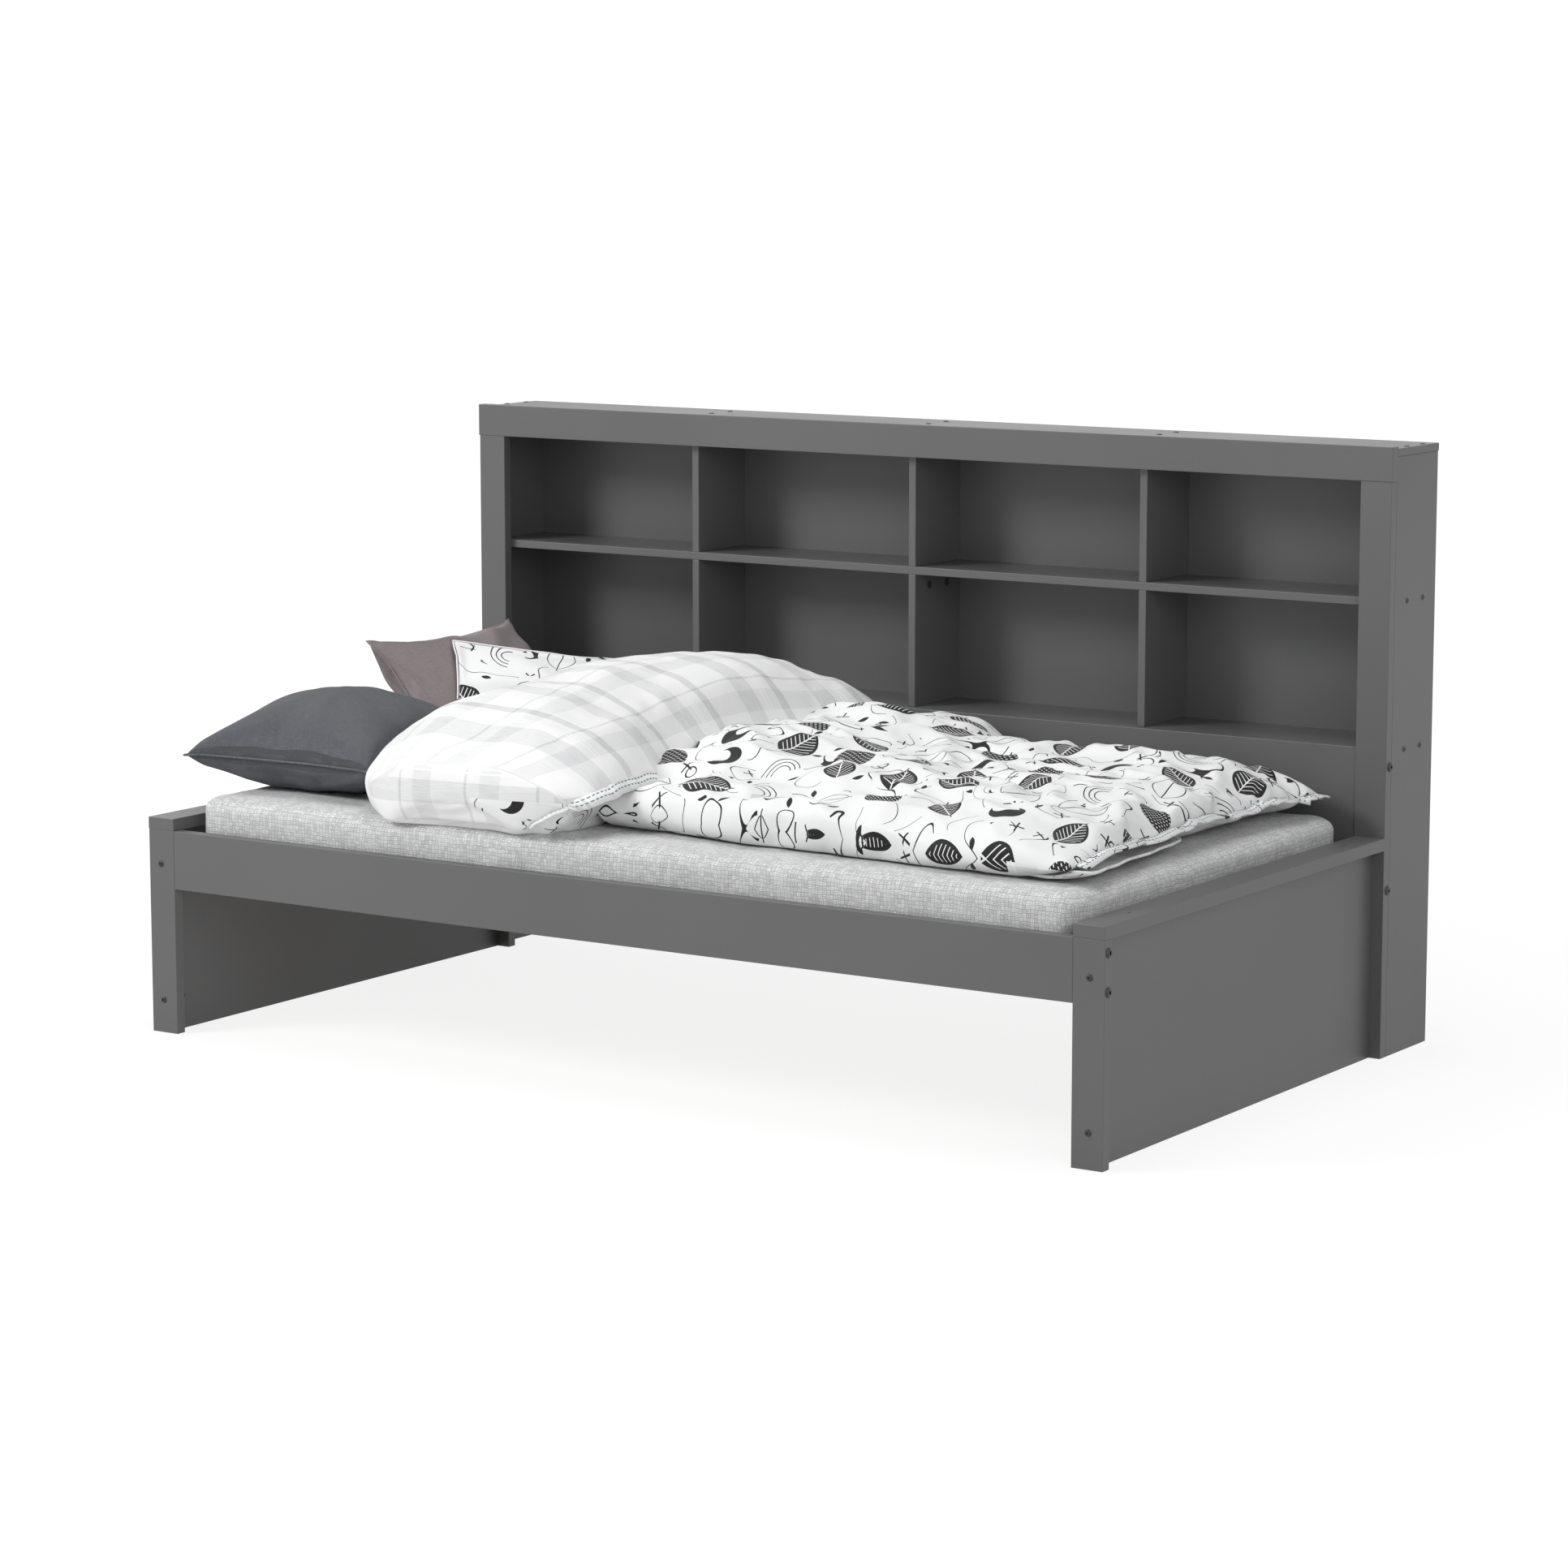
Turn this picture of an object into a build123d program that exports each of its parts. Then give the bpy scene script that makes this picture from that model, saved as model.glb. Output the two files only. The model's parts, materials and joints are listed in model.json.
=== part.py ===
from build123d import *
import os
from math import cos, radians, sin

os.makedirs("parts", exist_ok=True)

# A twin daybed with a low front rail, a solid panel at each end and a bookcase as its back.
# Lengths are in millimetres. X runs along the bed, Y from the front to the bookcase, Z up from the floor.
# The origin is on the floor, under the middle of the whole daybed.

# Mattress, and the room that the frame leaves round it
mattress_length = 1905.0
mattress_width = 990.0
mattress_height = 140.0
mattress_corner = 55.0
end_room = 16.9                 # from each end of a centred mattress to the posts
front_room = 5.0                # from the back of the rail to the mattress
back_room = 27.0                # from the mattress to the front of the bookcase
mattress_shift = 9.5            # the mattress lies this much nearer to the right end

# Front rail, posts and end panels
post_width = 60.6
post_thickness = 21.7
rail_thickness = 22.0
rail_height = 111.0
rail_bottom = 278.0             # height of the rail's lower edge
cap_thickness = 23.0
cap_overhang = 0.5              # how far a cap stands out past the front and the side of its post
panel_thickness = 10.3
panel_setback = 23.3            # from the outer side of a post to the face of the end panel

# Bookcase
stile_width = 62.0
stile_thickness = 22.0
header_height = 63.5
header_thickness = 23.1
header_side_lip = 1.7           # how far the header and the top plank reach past the sides
header_top_lip = 4.0            # how far the header stands above the top plank
side_thickness = 20.0
case_depth = 172.0              # from the back of the stiles to the back of the bookcase
board_thickness = 15.5          # shelves and dividers
plank_thickness = 14.5
cubby_height = 259.0
cubby_columns = 4
bottom_shelf_height = 576.0     # upper face of the bottom shelf
back_panel_thickness = 5.0
back_panel_lap = 9.0            # width of the rebate that holds the back panel in each side
lower_panel_thickness = 22.0
lower_panel_setback = 5.0       # from the front of the stiles to the front of the lower panel

# Mattress support
ledger_height = 22.0
ledger_thickness = 22.0
ledger_rise = 24.0              # from the rail's lower edge to the ledgers' upper face
ledger_end_gap = 12.0
slat_count = 12
slat_width = 70.0
slat_thickness = 15.0
slat_end_gap = 3.0
slat_side_margin = 45.0         # from the posts to the outer edge of the first and last slat

# Fits
edge_round = 1.2                # eased edge of every board
joint_gap = 0.2                 # space left beside a board that drops in between two others
hole_gap = 0.15                 # radial clearance round every bolt, screw, nut and dowel
soft_gap = 0.3                  # space between a soft piece and its neighbours

# Bolts that join the rail and the lower panel to the uprights, and their barrel nuts
bolt_radius = 3.0
bolt_head_radius = 9.0
bolt_head_height = 3.5
bolt_length = 108.0
nut_reach = 30.0                # from a board's end to the middle of its barrel nut
nut_radius = 5.0
nut_length = 15.0
rail_bolt_setback = 12.0        # from the front of a post to its side bolts
rail_bolt_edge = 22.4           # from the rail's edges to the bolts
lower_bolt_edge = 33.3          # from the lower panel's edges to the bolts

# Thin bolts that join the end panels to the posts and stiles, and their barrel nuts
thin_bolt_radius = 2.4
thin_bolt_head_radius = 6.0
thin_bolt_head_height = 2.6
thin_bolt_length = 62.0
thin_nut_radius = 4.0
thin_nut_reach = 50.0           # from a thin bolt's seat to the middle of its nut
thin_nut_cover = 1.2            # wood left over a thin nut on the outer side of the end panel
thin_bolt_heights = (63.0, 324.0)

# Shape of every bolt, screw and pin head, as shares of its radius or height
head_flat_share = 0.55
shoulder_share = 0.22
shoulder_height_share = 0.62
socket_share = 0.42
socket_depth_share = 0.6
hole_extra = 1.5                # how much further a hole runs than its fastening

# Screws, pins, cams and dowels
screw_radius = 2.0
screw_head_radius = 5.6
screw_head_height = 1.6
screw_length = 48.0
screw_inset = 53.0              # from the back of the stiles to the first screw of each pair
screw_pitch = 66.0
top_screw_shift = 6.0           # the top screws sit this much further back than the side screws
small_head_radius = 4.0
small_head_height = 1.4
ledger_screw_length = 34.0
slat_screw_length = 27.0
slat_screw_inset = 13.0         # from a ledger's back to the slat screws
pin_radius = 0.9
pin_head_radius = 2.4
pin_head_height = 0.8
pin_length = 14.0
pin_spacing = 165.0
cam_radius = 7.5
cam_thickness = 12.0
cam_drop = 24.0                 # from the divider's upper end to the middle of the cam
cam_slot_length = 9.8
cam_slot_width = 1.9
cam_slot_depth = 1.4
cam_bolt_radius = 3.0
cam_bolt_grip = 9.0             # length of the cam bolt inside the middle shelf
dowel_radius = 3.0
dowel_length = 24.0
dowel_edge = 18.0               # from the sides of a stile to the dowels in its upper end
divider_dowel_inset = 22.0      # from the front and back of a divider to its dowels
cap_dowel_inset = 110.0

# Bedding: places are measured from the mattress's front edge and from the middle of the bed
drawn_width = 990.0             # mattress width that the bedding's places across the bed are given for
cushion_nip = 17.0             # how far a cushion's sides draw in between its corners
slate_size = 436.0
slate_crown = 114.0
slate_belly = 62.0
slate_place = (-797.0, 275.0)
slate_turn = 2.0
mauve_width = 440.0
mauve_height = 300.0
mauve_crown = 78.0
mauve_place = (-880.0, 788.0, 112.0)
mauve_turn = -2.0
mauve_lean = 54.0
print_width = 440.0
print_height = 280.0
print_crown = 66.0
print_offset = (222.0, 3.0, -18.0)      # from the mauve cushion's middle to the printed cushion's
print_turn = -45.0
print_lean = 47.0
print_roll = -8.0
contact_offset = (106.0, -216.0, -92.0)     # from the mauve cushion's middle to where the printed one leans
duvet_puff = 9.0                # how far each of the duvet's rolls swells between its furrows
duvet_lip_share = 0.3           # how far the duvet's round edges stand out, as a share of their height
duvet_trim = 20.0               # depth below the mattress's top that is trimmed off the duvet
fold_trim = 32.0
fold_tuck_share = 0.16          # shape of the turned-back head, as shares of its height
fold_shoulder_share = 0.62
fold_shoulder_tuck = 0.08
fold_nose_share = 0.5
fold_nose_swell = 0.15
fold_nose_tuck = 0.05
fold_front_rise = 0.86
fold_back_rise = 0.91

# Places that follow from the sizes
bay_length = mattress_length + 2 * end_room
bay_depth = front_room + mattress_width + back_room
length = bay_length + 2 * post_width
depth = rail_thickness + bay_depth + stile_thickness + case_depth
half_length = length / 2
front_y = -(depth + pin_head_height - thin_bolt_head_height) / 2
back_y = front_y + depth
rail_back_y = front_y + rail_thickness
post_back_y = front_y + post_thickness
stile_front_y = rail_back_y + bay_depth
stile_back_y = stile_front_y + stile_thickness
post_inner_x = half_length - post_width
panel_x = half_length - panel_setback - panel_thickness / 2
side_inner_x = half_length - side_thickness
stile_inner_x = half_length - stile_width
rail_top = rail_bottom + rail_height
panel_front_y = stile_front_y + lower_panel_setback
panel_back_y = panel_front_y + lower_panel_thickness
ledger_top = rail_bottom + ledger_rise
lower_panel_bottom = ledger_top - ledger_height
bottom_shelf_bottom = bottom_shelf_height - board_thickness
mid_shelf_bottom = bottom_shelf_height + cubby_height
mid_shelf_top = mid_shelf_bottom + board_thickness
plank_bottom = mid_shelf_top + cubby_height
plank_top = plank_bottom + plank_thickness
header_top = plank_top + header_top_lip
header_bottom = header_top - header_height
header_front_y = stile_back_y - header_thickness
back_panel_y = back_y - back_panel_thickness
slat_top = ledger_top + slat_thickness
mattress_bottom = slat_top + soft_gap
mattress_top = mattress_bottom + mattress_height
bed_front_y = rail_back_y + front_room
bedding_z = mattress_top + soft_gap
spread_share = mattress_width / drawn_width
column_pitch = (2 * side_inner_x + board_thickness) / cubby_columns
divider_places = [column_pitch * (number - cubby_columns / 2) for number in range(1, cubby_columns)]
column_middles = [column_pitch * (number + 0.5 - cubby_columns / 2) for number in range(cubby_columns)]
screw_rows = [stile_back_y + screw_inset + screw_pitch * row for row in (0, 1)]
top_screw_rows = [row + top_screw_shift for row in screw_rows]
divider_dowel_rows = [stile_back_y + divider_dowel_inset, back_panel_y - divider_dowel_inset]
slat_pitch = 2 * (post_inner_x - slat_side_margin - slat_width / 2) / (slat_count - 1)
slat_places = [slat_pitch * (number - (slat_count - 1) / 2) for number in range(slat_count)]
slat_screw_rows = (rail_back_y + slat_screw_inset, panel_front_y - slat_screw_inset)
sides = {"left": -1, "right": 1}


def keep(piece, name):
    """Label a finished piece and write its STEP file."""
    piece.part.label = name
    export_step(piece.part, f"parts/{name}.step")


def seats(xs, ys, zs, out):
    """Seats of a pattern of fastenings, one for each x, y and z; out points away from the board."""
    return [Plane(origin=(x, y, z), z_dir=out) for x in xs for y in ys for z in zs]


def board(name, x_span, y_span, z_span, holes=()):
    """One board between two faces along each axis, with eased edges and drilled holes."""
    x_low, x_high = sorted(x_span)
    y_low, y_high = y_span
    z_low, z_high = z_span
    with BuildPart() as piece:
        with BuildSketch(Plane(origin=((x_low + x_high) / 2, (y_low + y_high) / 2, z_low))):
            Rectangle(x_high - x_low, y_high - y_low)
        extrude(amount=z_high - z_low)
        fillet(piece.edges(), radius=edge_round)
        for places, radius, reach in holes:
            with Locations(*places):
                Hole(radius + hole_gap, reach)
    keep(piece, name)


def screw_shape(shank_radius, shank_length, head_radius, head_height):
    """A bolt, screw or pin along Z: a round head with a six-sided socket above its seat, and a shank."""
    flat = head_radius * head_flat_share
    shoulder = (head_radius - (head_radius - flat) * shoulder_share, head_height * shoulder_height_share)
    with BuildPart() as shape:
        with BuildSketch():
            Circle(shank_radius)
        extrude(amount=-shank_length)
        with BuildSketch(Plane.XZ):
            with BuildLine():
                Polyline((flat, head_height), (0, head_height), (0, 0), (head_radius, 0))
                ThreePointArc((head_radius, 0), shoulder, (flat, head_height))
            make_face()
        revolve(axis=Axis.Z)
        with BuildSketch(Plane.XY.offset(head_height)):
            RegularPolygon(head_radius * socket_share, 6)
        extrude(amount=-head_height * socket_depth_share, mode=Mode.SUBTRACT)
    return shape.part


def rod_shape(radius, rod_length):
    """A dowel or a plain bolt shank along Z, below its seat."""
    with BuildPart() as shape:
        with BuildSketch():
            Circle(radius)
        extrude(amount=-rod_length)
    return shape.part


def nut_shape(radius, span, bore_radius):
    """A barrel nut along Z, centred, with a cross bore along X."""
    with BuildPart() as shape:
        with BuildSketch(Plane.XY.offset(-span / 2)):
            Circle(radius)
        extrude(amount=span)
        with Locations(Plane(origin=(radius, 0, 0), z_dir=(1, 0, 0))):
            Hole(bore_radius + hole_gap, 2 * radius)
    return shape.part


def fastenings(name, shape, places):
    """Equal fastenings, each a solid of its own, in one node."""
    with BuildPart() as pieces:
        with Locations(*places):
            add(shape)
    keep(pieces, name)


# Seats of the bolts, shared by the boards that they join
rail_bolt_y = front_y + rail_bolt_setback
rail_bolt_zs = (rail_bottom + rail_bolt_edge, rail_top - rail_bolt_edge)
lower_bolt_y = panel_front_y + lower_panel_thickness / 2
lower_bolt_zs = (lower_panel_bottom + lower_bolt_edge, bottom_shelf_height - lower_bolt_edge)
rail_bolts = {}
lower_bolts = {}
front_bolts = {}
back_bolts = {}
for name, side in sides.items():
    rail_bolts[name] = seats([side * half_length], [rail_bolt_y], rail_bolt_zs, (side, 0, 0))
    lower_bolts[name] = seats([side * half_length], [lower_bolt_y], lower_bolt_zs, (side, 0, 0))
    front_bolts[name] = seats([side * panel_x], [front_y], thin_bolt_heights, (0, -1, 0))
    back_bolts[name] = seats([side * panel_x], [stile_back_y], thin_bolt_heights, (0, 1, 0))
all_rail_bolts = rail_bolts["left"] + rail_bolts["right"]
all_lower_bolts = lower_bolts["left"] + lower_bolts["right"]
rail_nut_xs = [side * (post_inner_x - nut_reach) for side in (-1, 1)]
lower_nut_xs = [side * (stile_inner_x - joint_gap - nut_reach) for side in (-1, 1)]
thin_nut_rows = (front_y + thin_nut_reach, stile_back_y - thin_nut_reach)
bolt_hole = (bolt_radius, bolt_length + hole_extra)
thin_bolt_hole = (thin_bolt_radius, thin_bolt_length + hole_extra)

# Seats of the screws, pins and dowels
shelf_screw_zs = (mid_shelf_bottom + board_thickness / 2, bottom_shelf_height - board_thickness / 2)
side_screws = {}
side_top_screws = {}
side_pins = {}
cap_dowels = {}
stile_dowels = {}
pin_bottom_z = bottom_shelf_height - board_thickness / 2
pin_rows = int((plank_bottom - pin_bottom_z) // pin_spacing)
side_pin_zs = [pin_bottom_z + pin_spacing * (row + 0.5) for row in range(pin_rows)]
for name, side in sides.items():
    dowel_xs = [side * (half_length - dowel_edge), side * (stile_inner_x + dowel_edge)]
    side_screws[name] = seats([side * half_length], screw_rows, shelf_screw_zs, (side, 0, 0))
    side_top_screws[name] = seats([side * (half_length - side_thickness / 2)], top_screw_rows,
                                  [plank_top], (0, 0, 1))
    side_pins[name] = seats([side * (side_inner_x + back_panel_lap / 2)], [back_y], side_pin_zs, (0, 1, 0))
    cap_dowel_ys = [post_back_y + cap_dowel_inset, stile_front_y - cap_dowel_inset]
    cap_dowels[name] = seats([side * panel_x], cap_dowel_ys, [rail_top + dowel_length / 2], (0, 0, 1))
    stile_dowels[name] = seats(dowel_xs, [stile_back_y - stile_thickness / 2],
                               [header_bottom + dowel_length / 2], (0, 0, 1))
divider_top_screws = seats(divider_places, top_screw_rows, [plank_top], (0, 0, 1))
top_screws = side_top_screws["left"] + side_top_screws["right"] + divider_top_screws
foot_screws = seats(divider_places, screw_rows, [bottom_shelf_bottom], (0, 0, -1))
shelf_screws = side_screws["left"] + side_screws["right"]
ledger_screw_xs = [(near + far) / 2 for near, far in zip(slat_places[::2], slat_places[1::2])]
ledger_screw_z = ledger_top - ledger_height / 2
front_ledger_screws = seats(ledger_screw_xs, [rail_back_y + ledger_thickness], [ledger_screw_z], (0, 1, 0))
back_ledger_screws = seats(ledger_screw_xs, [panel_front_y - ledger_thickness], [ledger_screw_z], (0, -1, 0))
slat_screw_z = slat_top - small_head_height
slat_screws = seats(slat_places, slat_screw_rows, [slat_screw_z], (0, 0, 1))
pin_count = int(2 * side_inner_x // pin_spacing)
pin_xs = [pin_spacing * (number - (pin_count - 1) / 2) for number in range(pin_count)]
shelf_pins = seats(pin_xs, [back_y], shelf_screw_zs, (0, 1, 0))
divider_dowel_length = board_thickness + dowel_length
divider_dowels = seats(divider_places, divider_dowel_rows, [mid_shelf_top + dowel_length / 2], (0, 0, 1))
plank_dowels = seats(column_middles, [stile_back_y + dowel_length / 2], [plank_bottom + plank_thickness / 2],
                     (0, 1, 0))
cam_z = mid_shelf_bottom - cam_drop
cams = seats([board_thickness / 2], screw_rows, [cam_z], (1, 0, 0))
cam_bolt_length = cam_drop - cam_radius + cam_bolt_grip
cam_bolts = seats([0], screw_rows, [mid_shelf_bottom + cam_bolt_grip], (0, 0, 1))
screw_hole = (screw_radius, screw_length + hole_extra)
pin_hole = (pin_radius, pin_length + hole_extra)
ledger_screw_hole = (screw_radius, ledger_screw_length + hole_extra)
dowel_hole = (dowel_radius, dowel_length)
divider_dowel_hole = (dowel_radius, divider_dowel_length)

# Front rail
rail_nut_seats = seats(rail_nut_xs, [rail_back_y], rail_bolt_zs, (0, 1, 0))
board("front_rail", (-post_inner_x, post_inner_x), (front_y, rail_back_y), (rail_bottom, rail_top),
      holes=[(all_rail_bolts, *bolt_hole),
             (rail_nut_seats, nut_radius, rail_back_y - rail_bolt_y + nut_length / 2),
             (front_ledger_screws, *ledger_screw_hole)])

# Lower panel of the bookcase, behind the mattress
lower_half = stile_inner_x - joint_gap
lower_nut_seats = seats(lower_nut_xs, [panel_back_y], lower_bolt_zs, (0, 1, 0))
board("lower_front_panel", (-lower_half, lower_half), (panel_front_y, panel_back_y),
      (lower_panel_bottom, bottom_shelf_height),
      holes=[(all_lower_bolts, *bolt_hole),
             (lower_nut_seats, nut_radius, panel_back_y - lower_bolt_y + nut_length / 2),
             (back_ledger_screws, *ledger_screw_hole)])

# Ends of the bed and uprights of the bookcase, one set on each side
for name, side in sides.items():
    outer_x = side * half_length
    panel_inner_x = side * (panel_x - panel_thickness / 2)
    panel_outer_x = side * (panel_x + panel_thickness / 2)
    thin_nut_seats = seats([panel_inner_x], thin_nut_rows, thin_bolt_heights, (-side, 0, 0))
    board(f"front_post_{name}", (side * post_inner_x, outer_x), (front_y, post_back_y), (0, rail_top),
          holes=[(rail_bolts[name], *bolt_hole), (front_bolts[name], *thin_bolt_hole)])
    board(f"end_panel_{name}", (panel_inner_x, panel_outer_x), (post_back_y, stile_front_y), (0, rail_top),
          holes=[(front_bolts[name] + back_bolts[name], *thin_bolt_hole),
                 (thin_nut_seats, thin_nut_radius, panel_thickness - thin_nut_cover),
                 (cap_dowels[name], *dowel_hole)])
    board(f"end_cap_{name}", (side * post_inner_x, side * (half_length + cap_overhang)),
          (front_y - cap_overhang, stile_front_y), (rail_top, rail_top + cap_thickness),
          holes=[(cap_dowels[name], *dowel_hole)])
    board(f"back_stile_{name}", (side * stile_inner_x, outer_x), (stile_front_y, stile_back_y),
          (0, header_bottom),
          holes=[(lower_bolts[name], *bolt_hole), (back_bolts[name], *thin_bolt_hole),
                 (stile_dowels[name], *dowel_hole)])

# Sides of the bookcase, each with a rebate for the back panel
for name, side in sides.items():
    side_middle = Plane(origin=(side * (half_length - side_thickness / 2), (stile_back_y + back_y) / 2, 0))
    rebate_x = side * (side_inner_x + back_panel_lap / 2)
    rebate_middle = Plane(origin=(rebate_x, back_y - back_panel_thickness / 2, bottom_shelf_bottom))
    with BuildPart() as side_panel:
        with BuildSketch(side_middle):
            Rectangle(side_thickness, case_depth)
        extrude(amount=plank_bottom)
        fillet(side_panel.edges(), radius=edge_round)
        with BuildSketch(rebate_middle):
            Rectangle(back_panel_lap, back_panel_thickness)
        extrude(amount=plank_bottom - bottom_shelf_bottom, mode=Mode.SUBTRACT)
        with Locations(*side_screws[name], *side_top_screws[name]):
            Hole(screw_radius + hole_gap, screw_length + hole_extra)
        with Locations(*side_pins[name]):
            Hole(pin_radius + hole_gap, pin_length + hole_extra)
    keep(side_panel, f"side_panel_{name}")

# Header, top plank and shelves
reach_x = half_length + header_side_lip
board("header", (-reach_x, reach_x), (header_front_y, stile_back_y), (header_bottom, header_top),
      holes=[(stile_dowels["left"] + stile_dowels["right"] + plank_dowels, *dowel_hole)])
board("top_plank", (-reach_x, reach_x), (stile_back_y, back_y), (plank_bottom, plank_top),
      holes=[(top_screws, *screw_hole), (plank_dowels, *dowel_hole)])
board("mid_shelf", (-side_inner_x, side_inner_x), (stile_back_y, back_panel_y),
      (mid_shelf_bottom, mid_shelf_top),
      holes=[(shelf_screws, *screw_hole), (shelf_pins, *pin_hole), (divider_dowels, *divider_dowel_hole),
             (cam_bolts, cam_bolt_radius, cam_bolt_length)])
board("bottom_shelf", (-side_inner_x, side_inner_x), (panel_back_y, back_panel_y),
      (bottom_shelf_bottom, bottom_shelf_height),
      holes=[(shelf_screws, *screw_hole), (shelf_pins, *pin_hole), (foot_screws, *screw_hole)])
back_half = side_inner_x + back_panel_lap - joint_gap
board("back_panel", (-back_half, back_half), (back_panel_y, back_y), (bottom_shelf_bottom, plank_bottom),
      holes=[(shelf_pins + side_pins["left"] + side_pins["right"], *pin_hole)])

# Dividers, above and below the middle shelf; the centre one below it takes the cams
divider_names = ("left", "centre", "right")
for name, x in zip(divider_names, divider_places):
    divider_span = (x - board_thickness / 2, x + board_thickness / 2)
    lower_holes = [(foot_screws, *screw_hole), (divider_dowels, *divider_dowel_hole)]
    if name == "centre":
        lower_holes += [(cams, cam_radius, cam_thickness), (cam_bolts, cam_bolt_radius, cam_bolt_length)]
    board(f"upper_divider_{name}", divider_span, (stile_back_y, back_panel_y), (mid_shelf_top, plank_bottom),
          holes=[(divider_top_screws, *screw_hole), (divider_dowels, *divider_dowel_hole)])
    board(f"lower_divider_{name}", divider_span, (stile_back_y, back_panel_y),
          (bottom_shelf_height, mid_shelf_bottom), holes=lower_holes)

# Ledgers and slats under the mattress
ledger_half = post_inner_x - ledger_end_gap
ledger_span = (ledger_top - ledger_height, ledger_top)
slat_screw_hole = (screw_radius, slat_screw_length + hole_extra)
board("front_ledger", (-ledger_half, ledger_half), (rail_back_y, rail_back_y + ledger_thickness),
      ledger_span, holes=[(front_ledger_screws, *ledger_screw_hole), (slat_screws, *slat_screw_hole)])
board("back_ledger", (-ledger_half, ledger_half), (panel_front_y - ledger_thickness, panel_front_y),
      ledger_span, holes=[(back_ledger_screws, *ledger_screw_hole), (slat_screws, *slat_screw_hole)])
for number, x in enumerate(slat_places, start=1):
    own_screws = seats([x], slat_screw_rows, [slat_screw_z], (0, 0, 1))
    own_heads = seats([x], slat_screw_rows, [slat_top], (0, 0, 1))
    board(f"slat_{number:02d}", (x - slat_width / 2, x + slat_width / 2),
          (rail_back_y + slat_end_gap, panel_front_y - slat_end_gap), (ledger_top, slat_top),
          holes=[(own_screws, *slat_screw_hole), (own_heads, small_head_radius, small_head_height)])

# Bolts, nuts, screws, pins, cams and dowels
main_bolt = screw_shape(bolt_radius, bolt_length, bolt_head_radius, bolt_head_height)
thin_bolt = screw_shape(thin_bolt_radius, thin_bolt_length, thin_bolt_head_radius, thin_bolt_head_height)
long_screw = screw_shape(screw_radius, screw_length, screw_head_radius, screw_head_height)
ledger_screw = screw_shape(screw_radius, ledger_screw_length, small_head_radius, small_head_height)
slat_screw = screw_shape(screw_radius, slat_screw_length, small_head_radius, small_head_height)
back_pin = screw_shape(pin_radius, pin_length, pin_head_radius, pin_head_height)
main_nut = nut_shape(nut_radius, nut_length, bolt_radius)
thin_nut = nut_shape(thin_nut_radius, panel_thickness - 2 * thin_nut_cover, thin_bolt_radius)
rail_nuts = [Plane(origin=(x, rail_bolt_y, z), x_dir=(1, 0, 0), z_dir=(0, 1, 0))
             for x in rail_nut_xs for z in rail_bolt_zs]
lower_nuts = [Plane(origin=(x, lower_bolt_y, z), x_dir=(1, 0, 0), z_dir=(0, 1, 0))
              for x in lower_nut_xs for z in lower_bolt_zs]
thin_nuts = [Plane(origin=(side * panel_x, y, z), x_dir=(0, 1, 0), z_dir=(1, 0, 0))
             for side in (-1, 1) for y in thin_nut_rows for z in thin_bolt_heights]
fastenings("rail_bolts", main_bolt, all_rail_bolts)
fastenings("lower_panel_bolts", main_bolt, all_lower_bolts)
fastenings("barrel_nuts", main_nut, rail_nuts + lower_nuts)
fastenings("end_panel_bolts_front", thin_bolt, front_bolts["left"] + front_bolts["right"])
fastenings("end_panel_bolts_back", thin_bolt, back_bolts["left"] + back_bolts["right"])
fastenings("end_panel_nuts", thin_nut, thin_nuts)
fastenings("shelf_screws", long_screw, shelf_screws)
fastenings("top_screws", long_screw, top_screws)
fastenings("divider_screws", long_screw, foot_screws)
fastenings("ledger_screws", ledger_screw, front_ledger_screws + back_ledger_screws)
fastenings("slat_screws", slat_screw, slat_screws)
fastenings("back_panel_pins", back_pin, shelf_pins + side_pins["left"] + side_pins["right"])
fastenings("cam_bolts", rod_shape(cam_bolt_radius, cam_bolt_length), cam_bolts)
with BuildPart() as divider_cams:
    with Locations(*cams):
        Cylinder(cam_radius, cam_thickness, align=(Align.CENTER, Align.CENTER, Align.MAX))
        Box(cam_slot_length, cam_slot_width, 2 * cam_slot_depth, mode=Mode.SUBTRACT)
keep(divider_cams, "divider_cams")
with BuildPart() as dowels:
    with Locations(*cap_dowels["left"], *cap_dowels["right"], *stile_dowels["left"], *stile_dowels["right"],
                   *plank_dowels):
        add(rod_shape(dowel_radius, dowel_length))
    with Locations(*divider_dowels):
        add(rod_shape(dowel_radius, divider_dowel_length))
keep(dowels, "dowels")


def soft_outline(half_width, half_height, inset, corner):
    """A four-sided outline with round corners; its sides draw in by inset, or swell where it is negative."""
    a = half_width
    b = half_height
    turn = corner * (1 - cos(radians(45)))
    with BuildSketch() as outline:
        with BuildLine():
            ThreePointArc((corner - a, -b), (0, inset - b), (a - corner, -b))
            ThreePointArc((a - corner, -b), (a - turn, turn - b), (a, corner - b))
            ThreePointArc((a, corner - b), (a - inset, 0), (a, b - corner))
            ThreePointArc((a, b - corner), (a - turn, b - turn), (a - corner, b))
            ThreePointArc((a - corner, b), (0, b - inset), (corner - a, b))
            ThreePointArc((corner - a, b), (turn - a, b - turn), (-a, b - corner))
            ThreePointArc((-a, b - corner), (inset - a, 0), (-a, corner - b))
            ThreePointArc((-a, corner - b), (turn - a, turn - b), (corner - a, -b))
        make_face()
    return outline.sketch


# Each level of a cushion: share of its crown, spread of the outline, pull of the sides, round of the corners
cushion_levels = ((0.0, 1.0, 1.0, 0.03), (0.2, 0.93, 0.5, 0.16), (0.45, 0.82, -0.2, 0.4),
                  (0.72, 0.64, -0.5, 0.65), (0.9, 0.44, -0.5, 0.75), (1.0, 0.24, -0.3, 0.8))


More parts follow.
